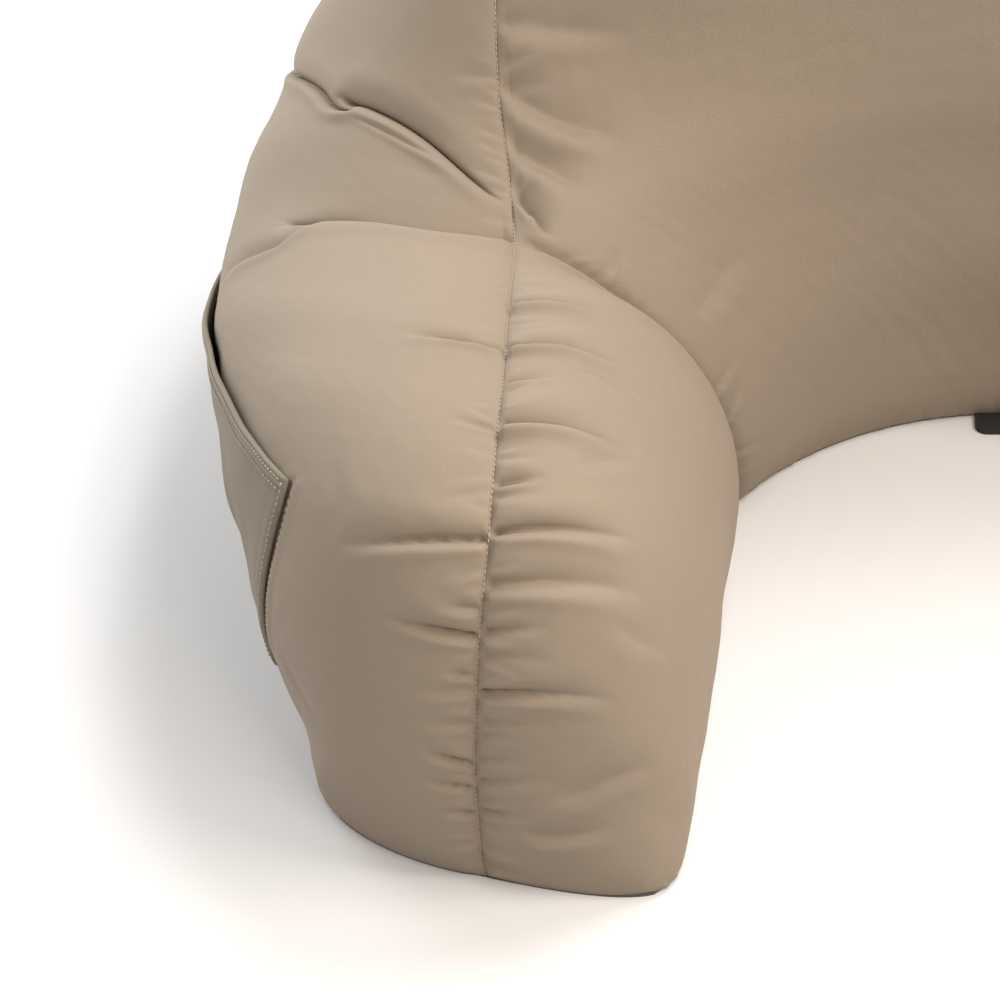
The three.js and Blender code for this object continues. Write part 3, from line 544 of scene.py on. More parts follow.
class Panel:
    """A cloth panel as a grid of points between its seams.

    Rows follow the seams and columns go across. turn is 1 where rows times columns points out
    of the filling, and -1 where it points in.
    """

    def __init__(self, places: np.ndarray, across: np.ndarray, points: np.ndarray,
                 turn: int, loft: float) -> None:
        """Keep the plain grid and measure it.

        Args:
            places: Row place of each row.
            across: Share across of each column.
            points: Plain points, in millimetres.
            turn: Sign of the outward normal.
            loft: Height of the open cloth over its seams.
        """
        self.places = places
        self.across = across
        self.plain = points
        self.turn = turn
        self.along_lengths = running(points, 0)
        self.across_lengths = running(points, 1)
        self.loft = np.full(points.shape[:2], loft)
        self.height = np.zeros(points.shape[:2])
        self.slide = np.zeros(points.shape)
        self.seam_distance = np.full(points.shape[:2], np.inf)

    def distance(self, border: Border) -> np.ndarray:
        """Distance of each point from one border.

        Args:
            border: The border.

        Returns:
            The distances, in millimetres.
        """
        if border is Border.START:
            return self.across_lengths
        if border is Border.END:
            return self.across_lengths[:, -1:] - self.across_lengths
        if border is Border.FIRST:
            return self.along_lengths
        return self.along_lengths[-1:] - self.along_lengths

    def normals(self, points: np.ndarray) -> np.ndarray:
        """Unit normals of a grid, pointing out of the filling.

        Args:
            points: Points of the grid, plain or dressed.

        Returns:
            A normal for each point.
        """
        normal = np.cross(np.gradient(points, axis=0), np.gradient(points, axis=1))
        length = np.linalg.norm(normal, axis=-1, keepdims=True)
        return self.turn * normal / np.maximum(length, 1e-9)

    def sew(self, borders: Sequence[Border], reach: float, roll: float) -> None:
        """Draw the cloth down to its sewn borders.

        Args:
            borders: Borders with a seam.
            reach: How fast the cloth rises from them.
            roll: Height of the tight roll of cloth right beside the seam.
        """
        away = np.minimum.reduce([self.distance(border) for border in borders])
        self.seam_distance = np.minimum(self.seam_distance, away)
        self.loft *= 1 - np.exp(-away / reach)
        rolled = (1 - np.exp(-away / ROLL_PEAK)) * np.exp(-((away / ROLL_WIDTH) ** 2))
        self.height += roll * rolled

    def roll_edge(self, border: Border, height: float, width: float, last: float) -> None:
        """Raise or sink a narrow line of cloth right beside one border.

        Args:
            border: The border.
            height: Height of the line, below 0 to sink it.
            width: Width of the line.
            last: Last row place that it reaches.
        """
        away = self.distance(border)
        reach = smooth_step((last - self.places)[:, None] / 0.05)
        self.height += reach * height * (1 - np.exp(-away / 0.6)) * np.exp(-((away / width) ** 2))

    def gather(self, gathers: Sequence[Gather], border: Border) -> None:
        """Sink gathers that start at one border.

        Args:
            gathers: The gathers, with at in rows, or in shares across for the first and last row.
            border: Border that they start from.
        """
        lengths, places, away = self.along_lengths, self.places, self.distance(border)
        turned = border in (Border.FIRST, Border.LAST)
        if turned:
            lengths, places, away = self.across_lengths.T, self.across, away.T
        height = np.zeros(away.shape)
        rows = np.arange(len(places))
        for gather in gathers:
            columns = np.nonzero((away < gather.reach).any(axis=0))[0]
            near = away[:, columns]
            centre = gather.at + gather.drift * near / gather.reach
            row = np.interp(centre, places, rows)
            low = np.minimum(row.astype(int), len(rows) - 2)
            part = row - low
            column = np.broadcast_to(columns, near.shape)
            middle = lengths[low, column] * (1 - part) + lengths[low + 1, column] * part
            share = near / gather.reach
            offset = lengths[:, columns] - middle
            # The trough widens away from the seam, and fades at both of its ends.
            x = offset / (gather.width * (0.6 + 0.6 * share))
            fade = np.minimum(1, near / 3) * np.clip(1.6 * (1 - share), 0, 1)
            sunk = gather.depth * fold_profile(x, gather.lip)
            height[:, columns] += fade * (sunk - gather.slit * slit_profile(offset))
        self.height += height.T if turned else height

    def pucker(self, border: Border, seed: int, pitch: float, depth: float, reach: float) -> None:
        """Add the small uneven puckers that a sewn seam draws into its cloth.

        Args:
            border: Border that they start from.
            seed: Seed of their places and sizes.
            pitch: Mean distance between two, in millimetres.
            depth: Greatest depth.
            reach: Greatest reach into the cloth.
        """
        chance = np.random.default_rng(seed)
        column = 0 if border is Border.START else -1
        if border in (Border.START, Border.END):
            lengths, places = self.along_lengths[:, column], self.places
        else:
            row = 0 if border is Border.FIRST else -1
            lengths, places = self.across_lengths[row], self.across
        count = max(2, int(lengths[-1] / pitch))
        spots = (np.arange(count) + chance.uniform(0.1, 0.9, count)) / count * lengths[-1]
        size = chance.uniform(0.15, 1, count) ** 1.6
        lean = chance.uniform(-1, 1, count) * (places[-1] - places[0]) / lengths[-1]
        gathers = [
            Gather(at, 7 + (reach - 7) * grow, tilt * 10 * grow, depth * (0.25 + 0.75 * grow),
                   1.7 + 2.2 * grow, 0.6)
            for at, grow, tilt in zip(np.interp(spots, lengths, places), size, lean)
        ]
        self.gather(gathers, border)

    def at(self, source: np.ndarray, places: np.ndarray, shares: np.ndarray) -> np.ndarray:
        """Values of a grid at places along and shares across it.

        Args:
            source: Grid of values, such as points or normals.
            places: Row places.
            shares: Shares across.

        Returns:
            A value for each place, smooth between the grid's points.
        """
        row = np.interp(places, self.places, np.arange(len(self.places)))
        column = np.interp(shares, self.across, np.arange(len(self.across)))
        i = np.minimum(row.astype(int), len(self.places) - 2)
        j = np.minimum(column.astype(int), len(self.across) - 2)
        r, c = (row - i)[..., None], (column - j)[..., None]
        upper = source[i, j] * (1 - c) + source[i, j + 1] * c
        lower = source[i + 1, j] * (1 - c) + source[i + 1, j + 1] * c
        return upper * (1 - r) + lower * r

    def fold(self, folds: Sequence[Fold]) -> None:
        """Press folds into the cloth.

        Args:
            folds: The folds.
        """
        normals = self.normals(self.plain)
        rising = np.gradient(self.plain, axis=0)
        for fold in folds:
            knots = np.linspace(0, 1, len(fold.path))
            shares = np.linspace(0, 1, FOLD_SAMPLES)
            path = between(knots, np.array(fold.path, float), shares)
            line = steadied(self.at(self.plain, path[:, 0], path[:, 1]), LINE_REACH)
            run = np.gradient(line, axis=0)
            run /= np.linalg.norm(run, axis=1, keepdims=True)
            run = steadied(run, LINE_REACH)
            outward = self.at(normals, path[:, 0], path[:, 1])
            up = np.cross(steadied(outward, NORMAL_REACH), run)
            up /= np.linalg.norm(up, axis=1, keepdims=True)
            up *= np.sign(np.sum(up * self.at(rising, path[:, 0], path[:, 1])))
            margin = 5 * fold.width
            low, high = line.min(0) - margin, line.max(0) + margin
            near = np.nonzero(((self.plain > low) & (self.plain < high)).all(-1))
            offset = self.plain[near][:, None] - line[None]
            gaps = np.sum(offset**2, -1)
            # Every sample of the line has a say in where a point lies, the near ones most.
            weights = np.exp((gaps.min(1, keepdims=True) - gaps) / (FOLD_BLEND * fold.width**2))
            weights /= weights.sum(1, keepdims=True)
            beyond = np.sum(weights * np.sum(offset * run, -1), 1) / fold.width
            away = np.sum(weights * np.sum(offset * up, -1), 1)
            place = weights @ shares
            fade = smooth_step((place + 1e-6) / (fold.opening + 1e-6))
            fade *= smooth_step((1 - place) / fold.closing) * np.exp(-beyond**2)
            fade *= np.minimum(1, self.seam_distance[near] / SEAM_FADE)
            sunk = fold.depth * fold_profile(away / fold.width, fold.lip)
            self.height[near] += fade * (sunk - fold.slit * slit_profile(away))
            above = np.maximum(away, 0) / (2 * SLIT_WIDTH)
            hang = fold.overlap * fade * above * np.exp(1 - above)
            self.slide[near] -= hang[:, None] * (weights @ up)

    def fill_out(self, seed: int, lumps: float, wrinkles: float) -> None:
        """Add the uneven filling and the faint wrinkles of the cloth over it.

        Args:
            seed: Seed of the waves.
            lumps: Height of the broad lumps of filling.
            wrinkles: Height of the faint wrinkles.
        """
        chance = np.random.default_rng(seed)
        mid = self.along_lengths.shape[1] // 2
        u = self.along_lengths[:, mid][:, None] + 0 * self.across_lengths
        v = self.across_lengths

        def waves(count: int, shortest: float, longest: float) -> np.ndarray:
            """Sum of waves of random direction, about 1 high.

            Args:
                count: Number of waves.
                shortest: Least wave length, in millimetres.
                longest: Greatest wave length.

            Returns:
                The sum at each point of the panel.
            """
            total = np.zeros_like(u)
            for _ in range(count):
                angle, phase = chance.uniform(0, 2 * np.pi, 2)
                number = 2 * np.pi / chance.uniform(shortest, longest)
                total += np.sin(number * (u * np.cos(angle) + v * np.sin(angle)) + phase)
            return total / np.sqrt(count)

        calm = 1 - np.exp(-((self.seam_distance / 22) ** 2))
        self.height += lumps * calm * waves(9, shortest=55, longest=130)
        warp = 9 * waves(5, shortest=35, longest=70)
        mask = smooth_step(0.35 + 0.6 * waves(5, shortest=60, longest=120))
        angle = chance.uniform(-0.5, 0.5)
        folds = np.abs(np.sin((v * np.sin(angle) + u * np.cos(angle) + warp) * np.pi / 26))
        self.height += wrinkles * calm * mask * (folds**0.7 - 0.6)
        self.height += 0.25 * wrinkles * calm * waves(12, shortest=9, longest=18)

    def dressed(self) -> np.ndarray:
        """Points with their heights applied, the sewn lines left where they are.

        Returns:
            Points of the grid, in millimetres.
        """
        height = self.loft + self.height
        moved = self.normals(self.plain) * height[..., None] + self.slide
        moved[:, 0] = moved[:, -1] = moved[0] = moved[-1] = 0
        points = self.plain + moved
        points[..., 2] = np.maximum(points[..., 2], CLOTH_FLOOR)
        return points


@dataclass(frozen=True)
class Fineness:
    """Grid steps of a panel: millimetres along its seams and the count across.

    zones are stretches of its rows with steps of their own: from, to and the factor.
    """

    along: float
    across: int
    zones: tuple[tuple[float, float, float], ...] = ()


def even_places(first: float, last: float, fineness: Fineness,
                column: Callable[[np.ndarray], np.ndarray]) -> np.ndarray:
    """Row places at even steps along a panel.

    Args:
        first: First place.
        last: Last place.
        fineness: Steps of the panel.
        column: Points at a list of places.

    Returns:
        The places, first and last among them.
    """
    fine = np.linspace(first, last, FINE_STEPS)
    steps = np.linalg.norm(np.diff(column(fine), axis=0), axis=1)
    for start, end, factor in fineness.zones:
        steps = np.where((fine[1:] > start) & (fine[1:] <= end), steps / factor, steps)
    lengths = np.append(0, np.cumsum(steps))
    count = int(math.ceil(lengths[-1] / fineness.along))
    return np.interp(np.linspace(0, lengths[-1], count + 1), lengths, fine)


def side_points(places: np.ndarray, across: np.ndarray) -> np.ndarray:
    """Plain points of the side panel."""
    rows = between(range(len(SIDE_ROWS)), np.array(SIDE_ROWS, float), places)
    return bezier(rows[:, 0], rows[:, 1], rows[:, 2], rows[:, 3], across)


def inner_points(places: np.ndarray, across: np.ndarray) -> np.ndarray:
    """Plain points of the inner arm panel.

    Args:
        places: Row places.
        across: Shares across, from the ridge seam down.

    Returns:
        Points with a row for each place and a column for each share.
    """
    seam = between(range(len(SIDE_ROWS)), np.array(SIDE_ROWS, float)[:, 0], places)
    rows = between(range(len(INNER_ROWS)), np.array(INNER_ROWS, float), places)
    return bezier(seam, rows[:, 0], rows[:, 1], rows[:, 2], across)


def span_points(rows: Sequence[SpanSection], places: np.ndarray, edge: np.ndarray,
                top_half: np.ndarray, columns: int) -> tuple[np.ndarray, np.ndarray]:
    """Plain points of a panel that spans the back from side to side.

    Args:
        rows: Table of the panel's sections.
        places: Place of each row.
        edge: Left edge, a point for each row.
        top_half: Left half of the sewn top edge, from the shoulder to the middle.
        columns: Steps across the panel.

    Returns:
        The points, and the share across of each column.
    """
    knots = [row.at for row in rows]
    reach = between(knots, np.array([row.reach for row in rows]), places)
    middle = between(knots, np.array([row.middle for row in rows]), places)
    leave = np.column_stack([-reach, (middle - edge[:, 1:]) / MIDDLE_SHARE])
    flip = np.array([-1, 1, 1])
    top = np.vstack([top_half, top_half[-2::-1] * flip])
    lengths = running(top, 0)
    shares = crowded(columns)
    top = np.column_stack([np.interp(shares * lengths[-1], lengths, top[:, k]) for k in range(3)])
    points = bezier(edge, leave, leave * flip, edge * flip, shares)
    ease = smooth_step(1 - (1 - np.linspace(0, 1, len(places))) / TOP_EDGE_FADE)
    points += ease[:, None, None] * (top - points[-1])
    return points, shares


def lay_flat(mesh: bpy.types.Mesh, flat: np.ndarray) -> None:
    """Give a mesh the flat map of its cloth.

    Args:
        mesh: The mesh.
        flat: Place of each vertex on the flat cloth, in metres.
    """
    layer = mesh.uv_layers.new(name="cloth")
    corners = np.zeros(len(mesh.loops), dtype=np.int32)
    mesh.loops.foreach_get("vertex_index", corners)
    layer.data.foreach_set("uv", flat[corners].astype(np.float32).ravel())


def mesh_piece(name: str, positions: np.ndarray, polygons: list[list[int]],
               flat: np.ndarray, smooth: bool = True) -> bpy.types.Object:
    """New piece from its points and faces.

    Args:
        name: Name of the piece.
        positions: Points, in metres.
        polygons: Faces.
        flat: Place of each point on the flat cloth, in metres.
        smooth: Whether its faces are shaded smooth.

    Returns:
        The new object.
    """
    mesh = bpy.data.meshes.new(name)
    mesh.from_pydata(positions.tolist(), [], polygons)
    if smooth:
        mesh.shade_smooth()
    lay_flat(mesh, flat)
    piece = bpy.data.objects.new(name, mesh)
    bpy.context.scene.collection.objects.link(piece)
    return piece


@dataclass
class ShellCutter:
    """Makes closed cloth shells from grids of points.

    thickness is the depth of the unseen inner wall under the plain cloth, below every fold, and
    rim its depth at the seams; wall_step is how many fine steps a step of the wall takes.
    """

    thickness: float = 9.0
    rim: float = 4.0
    wall_step: int = 8

    def place(self, points: np.ndarray, side: Side) -> np.ndarray:
        """Model position, in metres, of points in millimetres."""
        out = side.value * points[..., 0]
        return np.stack([out, DEPTH_MIDDLE - points[..., 1], points[..., 2]], -1) * MILLIMETRE

    def shell(self, name: str, panel: Panel, points: np.ndarray, side: Side) -> bpy.types.Object:
        """Closed shell of a panel, fine outside and plain inside.

        Args:
            name: Name of the piece.
            panel: The panel, for its outward normals and lengths.
            points: Dressed points of the panel.
            side: Half that the points are placed in.

        Returns:
            The new object.
        """
        rows, columns = points.shape[:2]
        ease = 1 - np.exp(-panel.seam_distance / RIM_EASE)
        sunk = self.rim + (self.thickness - self.rim) * ease
        inward = panel.plain - panel.normals(panel.plain) * sunk[..., None]
        inward[..., 2] = np.maximum(inward[..., 2], WALL_FLOOR)
        wall_rows = np.unique(np.append(np.arange(0, rows, self.wall_step), rows - 1))
        wall_columns = np.unique(np.append(np.arange(0, columns, self.wall_step), columns - 1))
        wall = inward[np.ix_(wall_rows, wall_columns)]
        outer_index = np.arange(rows * columns).reshape(rows, columns)
        wall_index = rows * columns + np.arange(wall.shape[0] * wall.shape[1])
        wall_index = wall_index.reshape(wall.shape[:2])
        faces = [grid_quads(outer_index), grid_quads(wall_index)[:, ::-1]]
        fine_loop = grid_border(outer_index)
        ring = {int(v): k for k, v in enumerate(fine_loop)}
        coarse_loop = grid_border(outer_index[np.ix_(wall_rows, wall_columns)])
        wall_loop = grid_border(wall_index)
        rims = []
        for k, start in enumerate(coarse_loop):
            after = (k + 1) % len(coarse_loop)
            first, last = ring[int(start)], ring[int(coarse_loop[after])]
            if last <= first:
                last += len(fine_loop)
            run = [int(fine_loop[m % len(fine_loop)]) for m in range(first, last + 1)]
            rims.append(run[::-1] + [int(wall_loop[k]), int(wall_loop[after])])
        polygons = [list(face) for group in faces for face in group.tolist()] + rims
        if panel.turn * side.value > 0:
            polygons = [face[::-1] for face in polygons]
        positions = self.place(np.vstack([points.reshape(-1, 3), wall.reshape(-1, 3)]), side)
        flat_map = np.stack([panel.along_lengths, panel.across_lengths], -1)
        wall_map = flat_map[np.ix_(wall_rows, wall_columns)]
        flat = np.vstack([flat_map.reshape(-1, 2), wall_map.reshape(-1, 2)]) * MILLIMETRE
        piece = mesh_piece(name, positions, polygons, flat)
        mesh = piece.data
        on_border = np.zeros(len(positions), bool)
        on_border[fine_loop] = True
        ends = np.zeros(2 * len(mesh.edges), np.int32)
        mesh.edges.foreach_get("vertices", ends)
        sharp = on_border[ends].reshape(-1, 2).all(1)
        mesh.attributes.new("sharp_edge", "BOOLEAN", "EDGE").data.foreach_set("value", sharp)
        return piece


@dataclass(frozen=True)
class ClothFinish:
    """A woven cloth: colour in linear light, weave pitch in millimetres, and its nap."""

    name: str
    colour: tuple[float, float, float]
    weave_pitch: float
    weave_height: float
    roughness: float
    sheen: float
    variation: float
    sheen_roughness: float = 0.55
    specular: float = 0.25
    bump_strength: float = 0.55
    cross_share: float = 0.35
    slub_share: float = 1.1
    fleck_share: float = 0.45
    blotch_share: float = 0.6
    slub_scale: float = 900.0
    fleck_scale: float = 2600.0
    blotch_scale: float = 7.0

    def material(self) -> bpy.types.Material:
        """Procedural material of the cloth, made once.

        Returns:
            The material.
        """
        made = bpy.data.materials.get(self.name)
        if made:
            return made
        made = bpy.data.materials.new(self.name)
        made.use_nodes = True
        tree = made.node_tree
        shader = tree.nodes["Principled BSDF"]
        shader.inputs["Roughness"].default_value = self.roughness
        shader.inputs["Sheen Weight"].default_value = self.sheen
        shader.inputs["Sheen Roughness"].default_value = self.sheen_roughness
        shader.inputs["Sheen Tint"].default_value = (*[min(1, 1.5 * c) for c in self.colour], 1)
        shader.inputs["Specular IOR Level"].default_value = self.specular
        flat = tree.nodes.new("ShaderNodeUVMap")
        flat.uv_map = "cloth"
        place = tree.nodes.new("ShaderNodeTexCoord")

        def noise(source: bpy.types.NodeSocket, scale: float, detail: float) -> bpy.types.Node:
            """Noise texture on a coordinate.

            Args:
                source: The coordinate.
                scale: Its scale.
                detail: Its detail.

            Returns:
                The texture node.
            """
            node = tree.nodes.new("ShaderNodeTexNoise")
            node.inputs["Scale"].default_value = scale
            node.inputs["Detail"].default_value = detail
            tree.links.new(source, node.inputs["Vector"])
            return node

        def twill(turn: float) -> bpy.types.Node:
            """Diagonal ribs of the weave.

            Args:
                turn: Their angle on the flat cloth, in radians.

            Returns:
                The texture node.
            """
            mapping = tree.nodes.new("ShaderNodeMapping")
            mapping.inputs["Rotation"].default_value = (0, 0, turn)
            tree.links.new(flat.outputs["UV"], mapping.inputs["Vector"])
            wave = tree.nodes.new("ShaderNodeTexWave")
            wave.inputs["Scale"].default_value = math.pi * 100 / self.weave_pitch
            wave.inputs["Distortion"].default_value = 1.2
            wave.inputs["Detail"].default_value = 2
            wave.inputs["Detail Scale"].default_value = 0.6
            tree.links.new(mapping.outputs["Vector"], wave.inputs["Vector"])
            return wave

        ribs = twill(math.radians(52))
        cross = twill(math.radians(-38))
        slub = noise(flat.outputs["UV"], self.slub_scale, 3)
        blotch = noise(place.outputs["Object"], self.blotch_scale, 4)
        fleck = noise(flat.outputs["UV"], self.fleck_scale, 2)

        def mixed_in(source: bpy.types.NodeSocket, share: float,
                     base: bpy.types.NodeSocket | None = None) -> bpy.types.NodeSocket:
            """A share of one value, added to another.

            Args:
                source: The value.
                share: Share of it.
                base: Value that it is added to.

            Returns:
                The sum.
            """
            node = tree.nodes.new("ShaderNodeMath")
            node.operation = "MULTIPLY_ADD" if base else "MULTIPLY"
            node.inputs[1].default_value = share
            tree.links.new(source, node.inputs[0])
            if base:
                tree.links.new(base, node.inputs[2])
            return node.outputs["Value"]

        weave = mixed_in(cross.outputs["Fac"], self.cross_share, ribs.outputs["Fac"])
        relief = mixed_in(slub.outputs["Fac"], self.slub_share, weave)
        bump = tree.nodes.new("ShaderNodeBump")
        bump.inputs["Strength"].default_value = self.bump_strength
        bump.inputs["Distance"].default_value = self.weave_height * MILLIMETRE
        tree.links.new(relief, bump.inputs["Height"])
        tree.links.new(bump.outputs["Normal"], shader.inputs["Normal"])
        tone = tree.nodes.new("ShaderNodeMix")
        tone.data_type = "RGBA"
        light = [min(1, c * (1 + self.variation)) for c in self.colour]
        dark = [c * (1 - self.variation) for c in self.colour]
        tone.inputs["A"].default_value = (*dark, 1)
        tone.inputs["B"].default_value = (*light, 1)
        spread = mixed_in(blotch.outputs["Fac"], self.blotch_share)
        mixed = mixed_in(fleck.outputs["Fac"], self.fleck_share, spread)
        tree.links.new(mixed, tone.inputs["Factor"])
        tree.links.new(tone.outputs["Result"], shader.inputs["Base Color"])
        return made


COVER = ClothFinish("cover_twill", (0.223, 0.182, 0.139), 0.75, 0.06, 0.88, 0.25, 0.08)
POCKET_CLOTH = ClothFinish("pocket_twill", (0.165, 0.14, 0.106), 0.75, 0.06, 0.88, 0.25, 0.08)
# Near-black base cloth: its edge, just beyond the cushion's foot, draws a thin line of painted
# shade.
BASE_SHADE_CLOTH = ClothFinish("base_cloth", (0.01, 0.009, 0.008), 1.2, 0.2, 0.8, 0.1, 0.25)
TAPE = ClothFinish("tab_tape", (0.02, 0.019, 0.018), 1.1, 0.3, 0.7, 0.3, 0.3)
THREAD = ClothFinish("sewing_thread", (0.33, 0.28, 0.22), 0.3, 0.05, 0.6, 0.3, 0.06)


def dress(piece: bpy.types.Object, finish: ClothFinish, slot: str, *nodes: str) -> None:
    """Give a piece its finish and its body, and hide the CAD nodes that it stands for.

    Args:
        piece: The piece.
        finish: Its cloth.
        slot: Material slot of the record; not used.
        nodes: CAD nodes that it stands for; none for thread.
    """
    piece.data.materials.clear()
    piece.data.materials.append(finish.material())
    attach(piece, "root")
    if nodes:
        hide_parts(*nodes)
    log.info("%s: %d faces", piece.name, len(piece.data.polygons))


@dataclass
class CushionCover:
    """The sewn cover with its filling: side, inner arm, front, rear and base panels."""

    loft: float = 6.0
    valley_reach: float = 13.0
    roll: float = 0.5
    tuck_reach: float = 40.0
    tuck_roll: float = 1.5
    tuck_dip: float = 2.5
    side_fineness: Fineness = Fineness(1.35, 150, ((9.5, 11.8, 0.55), (12.5, 22, 3.0)))
    inner_fineness: Fineness = Fineness(1.15, 140, ((9.85, 10, 0.3),))
    front_fineness: Fineness = Fineness(2.2, 300)
    rear_fineness: Fineness = Fineness(4.0, 150)
    base_edge: float = 1.7
    # How far the base's edge stands beyond the foot, so that its near-black cloth shows as a line
    # of painted shade.
    base_proud: float = 0.4
    base_rows: int = 260
    base_columns: int = 14

    def __post_init__(self) -> None:
        """Work out the plain grids that the panels share."""
        self.cutter = ShellCutter()
        self.side_places = even_places(0, len(SIDE_ROWS) - 1, self.side_fineness,
                                       lambda p: side_points(p, np.array([0.45]))[:, 0])
        self.arm_places = even_places(0, ELBOW, self.inner_fineness,
                                      lambda p: inner_points(p, np.array([0.4]))[:, 0])
        self.sides: dict[Side, Panel] = {}

    def side_panel(self, side: Side) -> bpy.types.Object:
        """Side panel of one half, from the arm's foot to the middle of the top.

        Args:
            side: The half.

        Returns:
            The new object.
        """
        across = crowded(self.side_fineness.across)
        panel = Panel(self.side_places, across, side_points(self.side_places, across), 1,
                      self.loft)
        panel.sew(list(Border), self.valley_reach, self.roll)
        panel.gather(SIDE_GATHERS[side], Border.START)
        seed = 11 if side is Side.LEFT else 12
        panel.pucker(Border.START, seed, pitch=8, depth=1.0, reach=22)
        panel.pucker(Border.END, seed + 10, pitch=11, depth=1.2, reach=24)
        panel.fold(SIDE_FOLDS[side])
        panel.fill_out(seed + 20, lumps=1.0, wrinkles=0.2)
        self.sides[side] = panel
        return self.cutter.shell(f"side_panel_{side.word}", panel, panel.dressed(), side)

    def inner_panel(self, side: Side) -> bpy.types.Object:
        """Inner arm panel of one half, from the ridge seam down to the seat.

        Args:
            side: The half.

        Returns:
            The new object.
        """
        across = crowded(self.inner_fineness.across)
        panel = Panel(self.arm_places, across, inner_points(self.arm_places, across), -1,
                      self.loft)
        panel.sew([Border.START, Border.END, Border.FIRST], self.valley_reach, self.roll)
        panel.sew([Border.LAST], self.tuck_reach, roll=0.0)
        panel.gather(INNER_GATHERS[side], Border.START)
        seed = 41 if side is Side.LEFT else 42
        panel.pucker(Border.START, seed, pitch=8, depth=1.5, reach=24)
        panel.pucker(Border.END, seed + 10, pitch=12, depth=1.0, reach=18)
        panel.roll_edge(Border.LAST, self.tuck_roll, width=2.6, last=ELBOW + 1)
        panel.fold(INNER_FOLDS[side])
        panel.fill_out(seed + 20, lumps=0.7, wrinkles=0.2)
        name = f"inner_arm_panel_{side.word}"
        return self.cutter.shell(name, panel, panel.dressed(), side)

    def tuck_edge(self, count: int) -> tuple[np.ndarray, np.ndarray]:
        """Line where the arm meets the back, from the floor up: places and points."""
        shares = np.linspace(1, 0, count)
        return ELBOW - shares, inner_points(np.array([float(ELBOW)]), shares)[0]

    def front_panel(self) -> bpy.types.Object:
        """Front panel of the back, from the seat's floor line to the top seam.

        Returns:
            The new object.
        """
        tuck_places, tuck = self.tuck_edge(TUCK_SAMPLES)
        upper = np.linspace(ELBOW, SHOULDER, EDGE_SAMPLES)[1:]
        edge_places = np.concatenate([tuck_places, upper])
        edge = np.vstack([tuck, side_points(upper, np.array([0.0]))[:, 0]])
        top = side_points(np.linspace(SHOULDER, TOP_MIDDLE, TOP_SAMPLES), np.array([0.0]))[:, 0]
        panel = self.span(FRONT_ROWS, edge_places, edge, top, self.front_fineness, -1)
        panel.pucker(Border.START, seed=71, pitch=9, depth=1.4, reach=26)
        panel.pucker(Border.END, seed=72, pitch=9, depth=1.4, reach=26)
        panel.pucker(Border.LAST, seed=73, pitch=11, depth=1.4, reach=24)
        panel.pucker(Border.FIRST, seed=74, pitch=12, depth=1.0, reach=18)
        for border in (Border.START, Border.END):
            panel.roll_edge(border, -self.tuck_dip, width=4.5, last=ELBOW)
        panel.fold(FRONT_FOLDS)
        panel.fill_out(seed=75, lumps=1.5, wrinkles=0.25)
        return self.cutter.shell("front_panel", panel, panel.dressed(), Side.LEFT)

    def rear_panel(self) -> bpy.types.Object:
        """Rear panel of the back.

        Returns:
            The new object.
        """
        places = np.linspace(REAR_FOOT, SHOULDER, EDGE_SAMPLES)
        edge = side_points(places, np.array([1.0]))[:, 0]
        top = side_points(np.linspace(SHOULDER, TOP_MIDDLE, TOP_SAMPLES), np.array([1.0]))[:, 0]
        panel = self.span(REAR_ROWS, places, edge, top, self.rear_fineness, 1)
        for seed, border in enumerate((Border.START, Border.END, Border.LAST), 81):
            panel.pucker(border, seed, pitch=11, depth=1.4, reach=24)
        panel.fold(REAR_FOLDS)
        panel.fill_out(seed=84, lumps=1.5, wrinkles=0.3)
        return self.cutter.shell("rear_panel", panel, panel.dressed(), Side.LEFT)

    def span(self, rows: Sequence[SpanSection], places: np.ndarray, edge: np.ndarray,
             top: np.ndarray, fineness: Fineness, turn: int) -> Panel:
        """Sewn panel that spans the back.

        Args:
            rows: Table of its sections.
            places: Places along its left edge, close together.
            edge: The left edge's points.
            top: Left half of its top edge.
            fineness: Steps of its grid.
            turn: Sign of its outward normal.

        Returns:
            The panel, its borders sewn.
        """
        lengths = running(edge, 0)
        count = int(math.ceil(lengths[-1] / fineness.along))
        even = np.linspace(0, lengths[-1], count + 1)
        row_places = np.interp(even, lengths, places)
        left = np.column_stack([np.interp(even, lengths, edge[:, k]) for k in range(3)])
        points, shares = span_points(rows, row_places, left, top, fineness.across)
        panel = Panel(row_places, shares, relaxed(points, ROW_PASSES, (0,)), turn, self.loft)
        panel.sew(list(Border), self.valley_reach, self.roll)
        return panel

    def seam_stitches(self) -> None:
        """Thread along the seams of both halves, just above the sewn line."""
        thread = Stitching()
        panel = self.sides[Side.LEFT]
        up = panel.normals(panel.plain)
        beside = -np.cross(np.gradient(panel.plain[:, 0], axis=0), up[:, 0])
        beside /= np.linalg.norm(beside, axis=1, keepdims=True)
        thread.sew(panel.plain[:, 0], up[:, 0] + 0.35 * beside, lift=0.45)
        keep = self.side_places >= REAR_FOOT
        thread.sew(panel.plain[keep, -1], up[keep, -1], lift=0.45)
        for side in Side:
            dress(thread.piece(f"seam_stitches_{side.word}", self.cutter, side), THREAD, "cover")

    def base_panel(self) -> bpy.types.Object:
        """Base cloth, coloured near-black so that its edge draws a thin line of painted shade
        round the foot.

        Returns:
            The new object.
        """
        top = side_points(np.array([SHOULDER, TOP_MIDDLE]), np.array([0.0]))[:, 0]

        def foot_line(rows: Sequence[SpanSection], corner: np.ndarray) -> np.ndarray:
            """Bottom line of a panel of the back, from the centre plane to its corner.

            Args:
                rows: Table of the panel's sections.
                corner: Point where the line ends.

            Returns:
                Points of the line.
            """
            places = np.array([rows[0].at, rows[1].at])
            edge = np.vstack([corner, corner])
            line = span_points(rows, places, edge, top, FOOT_COLUMNS)[0][0]
            return line[FOOT_COLUMNS // 2::-1]

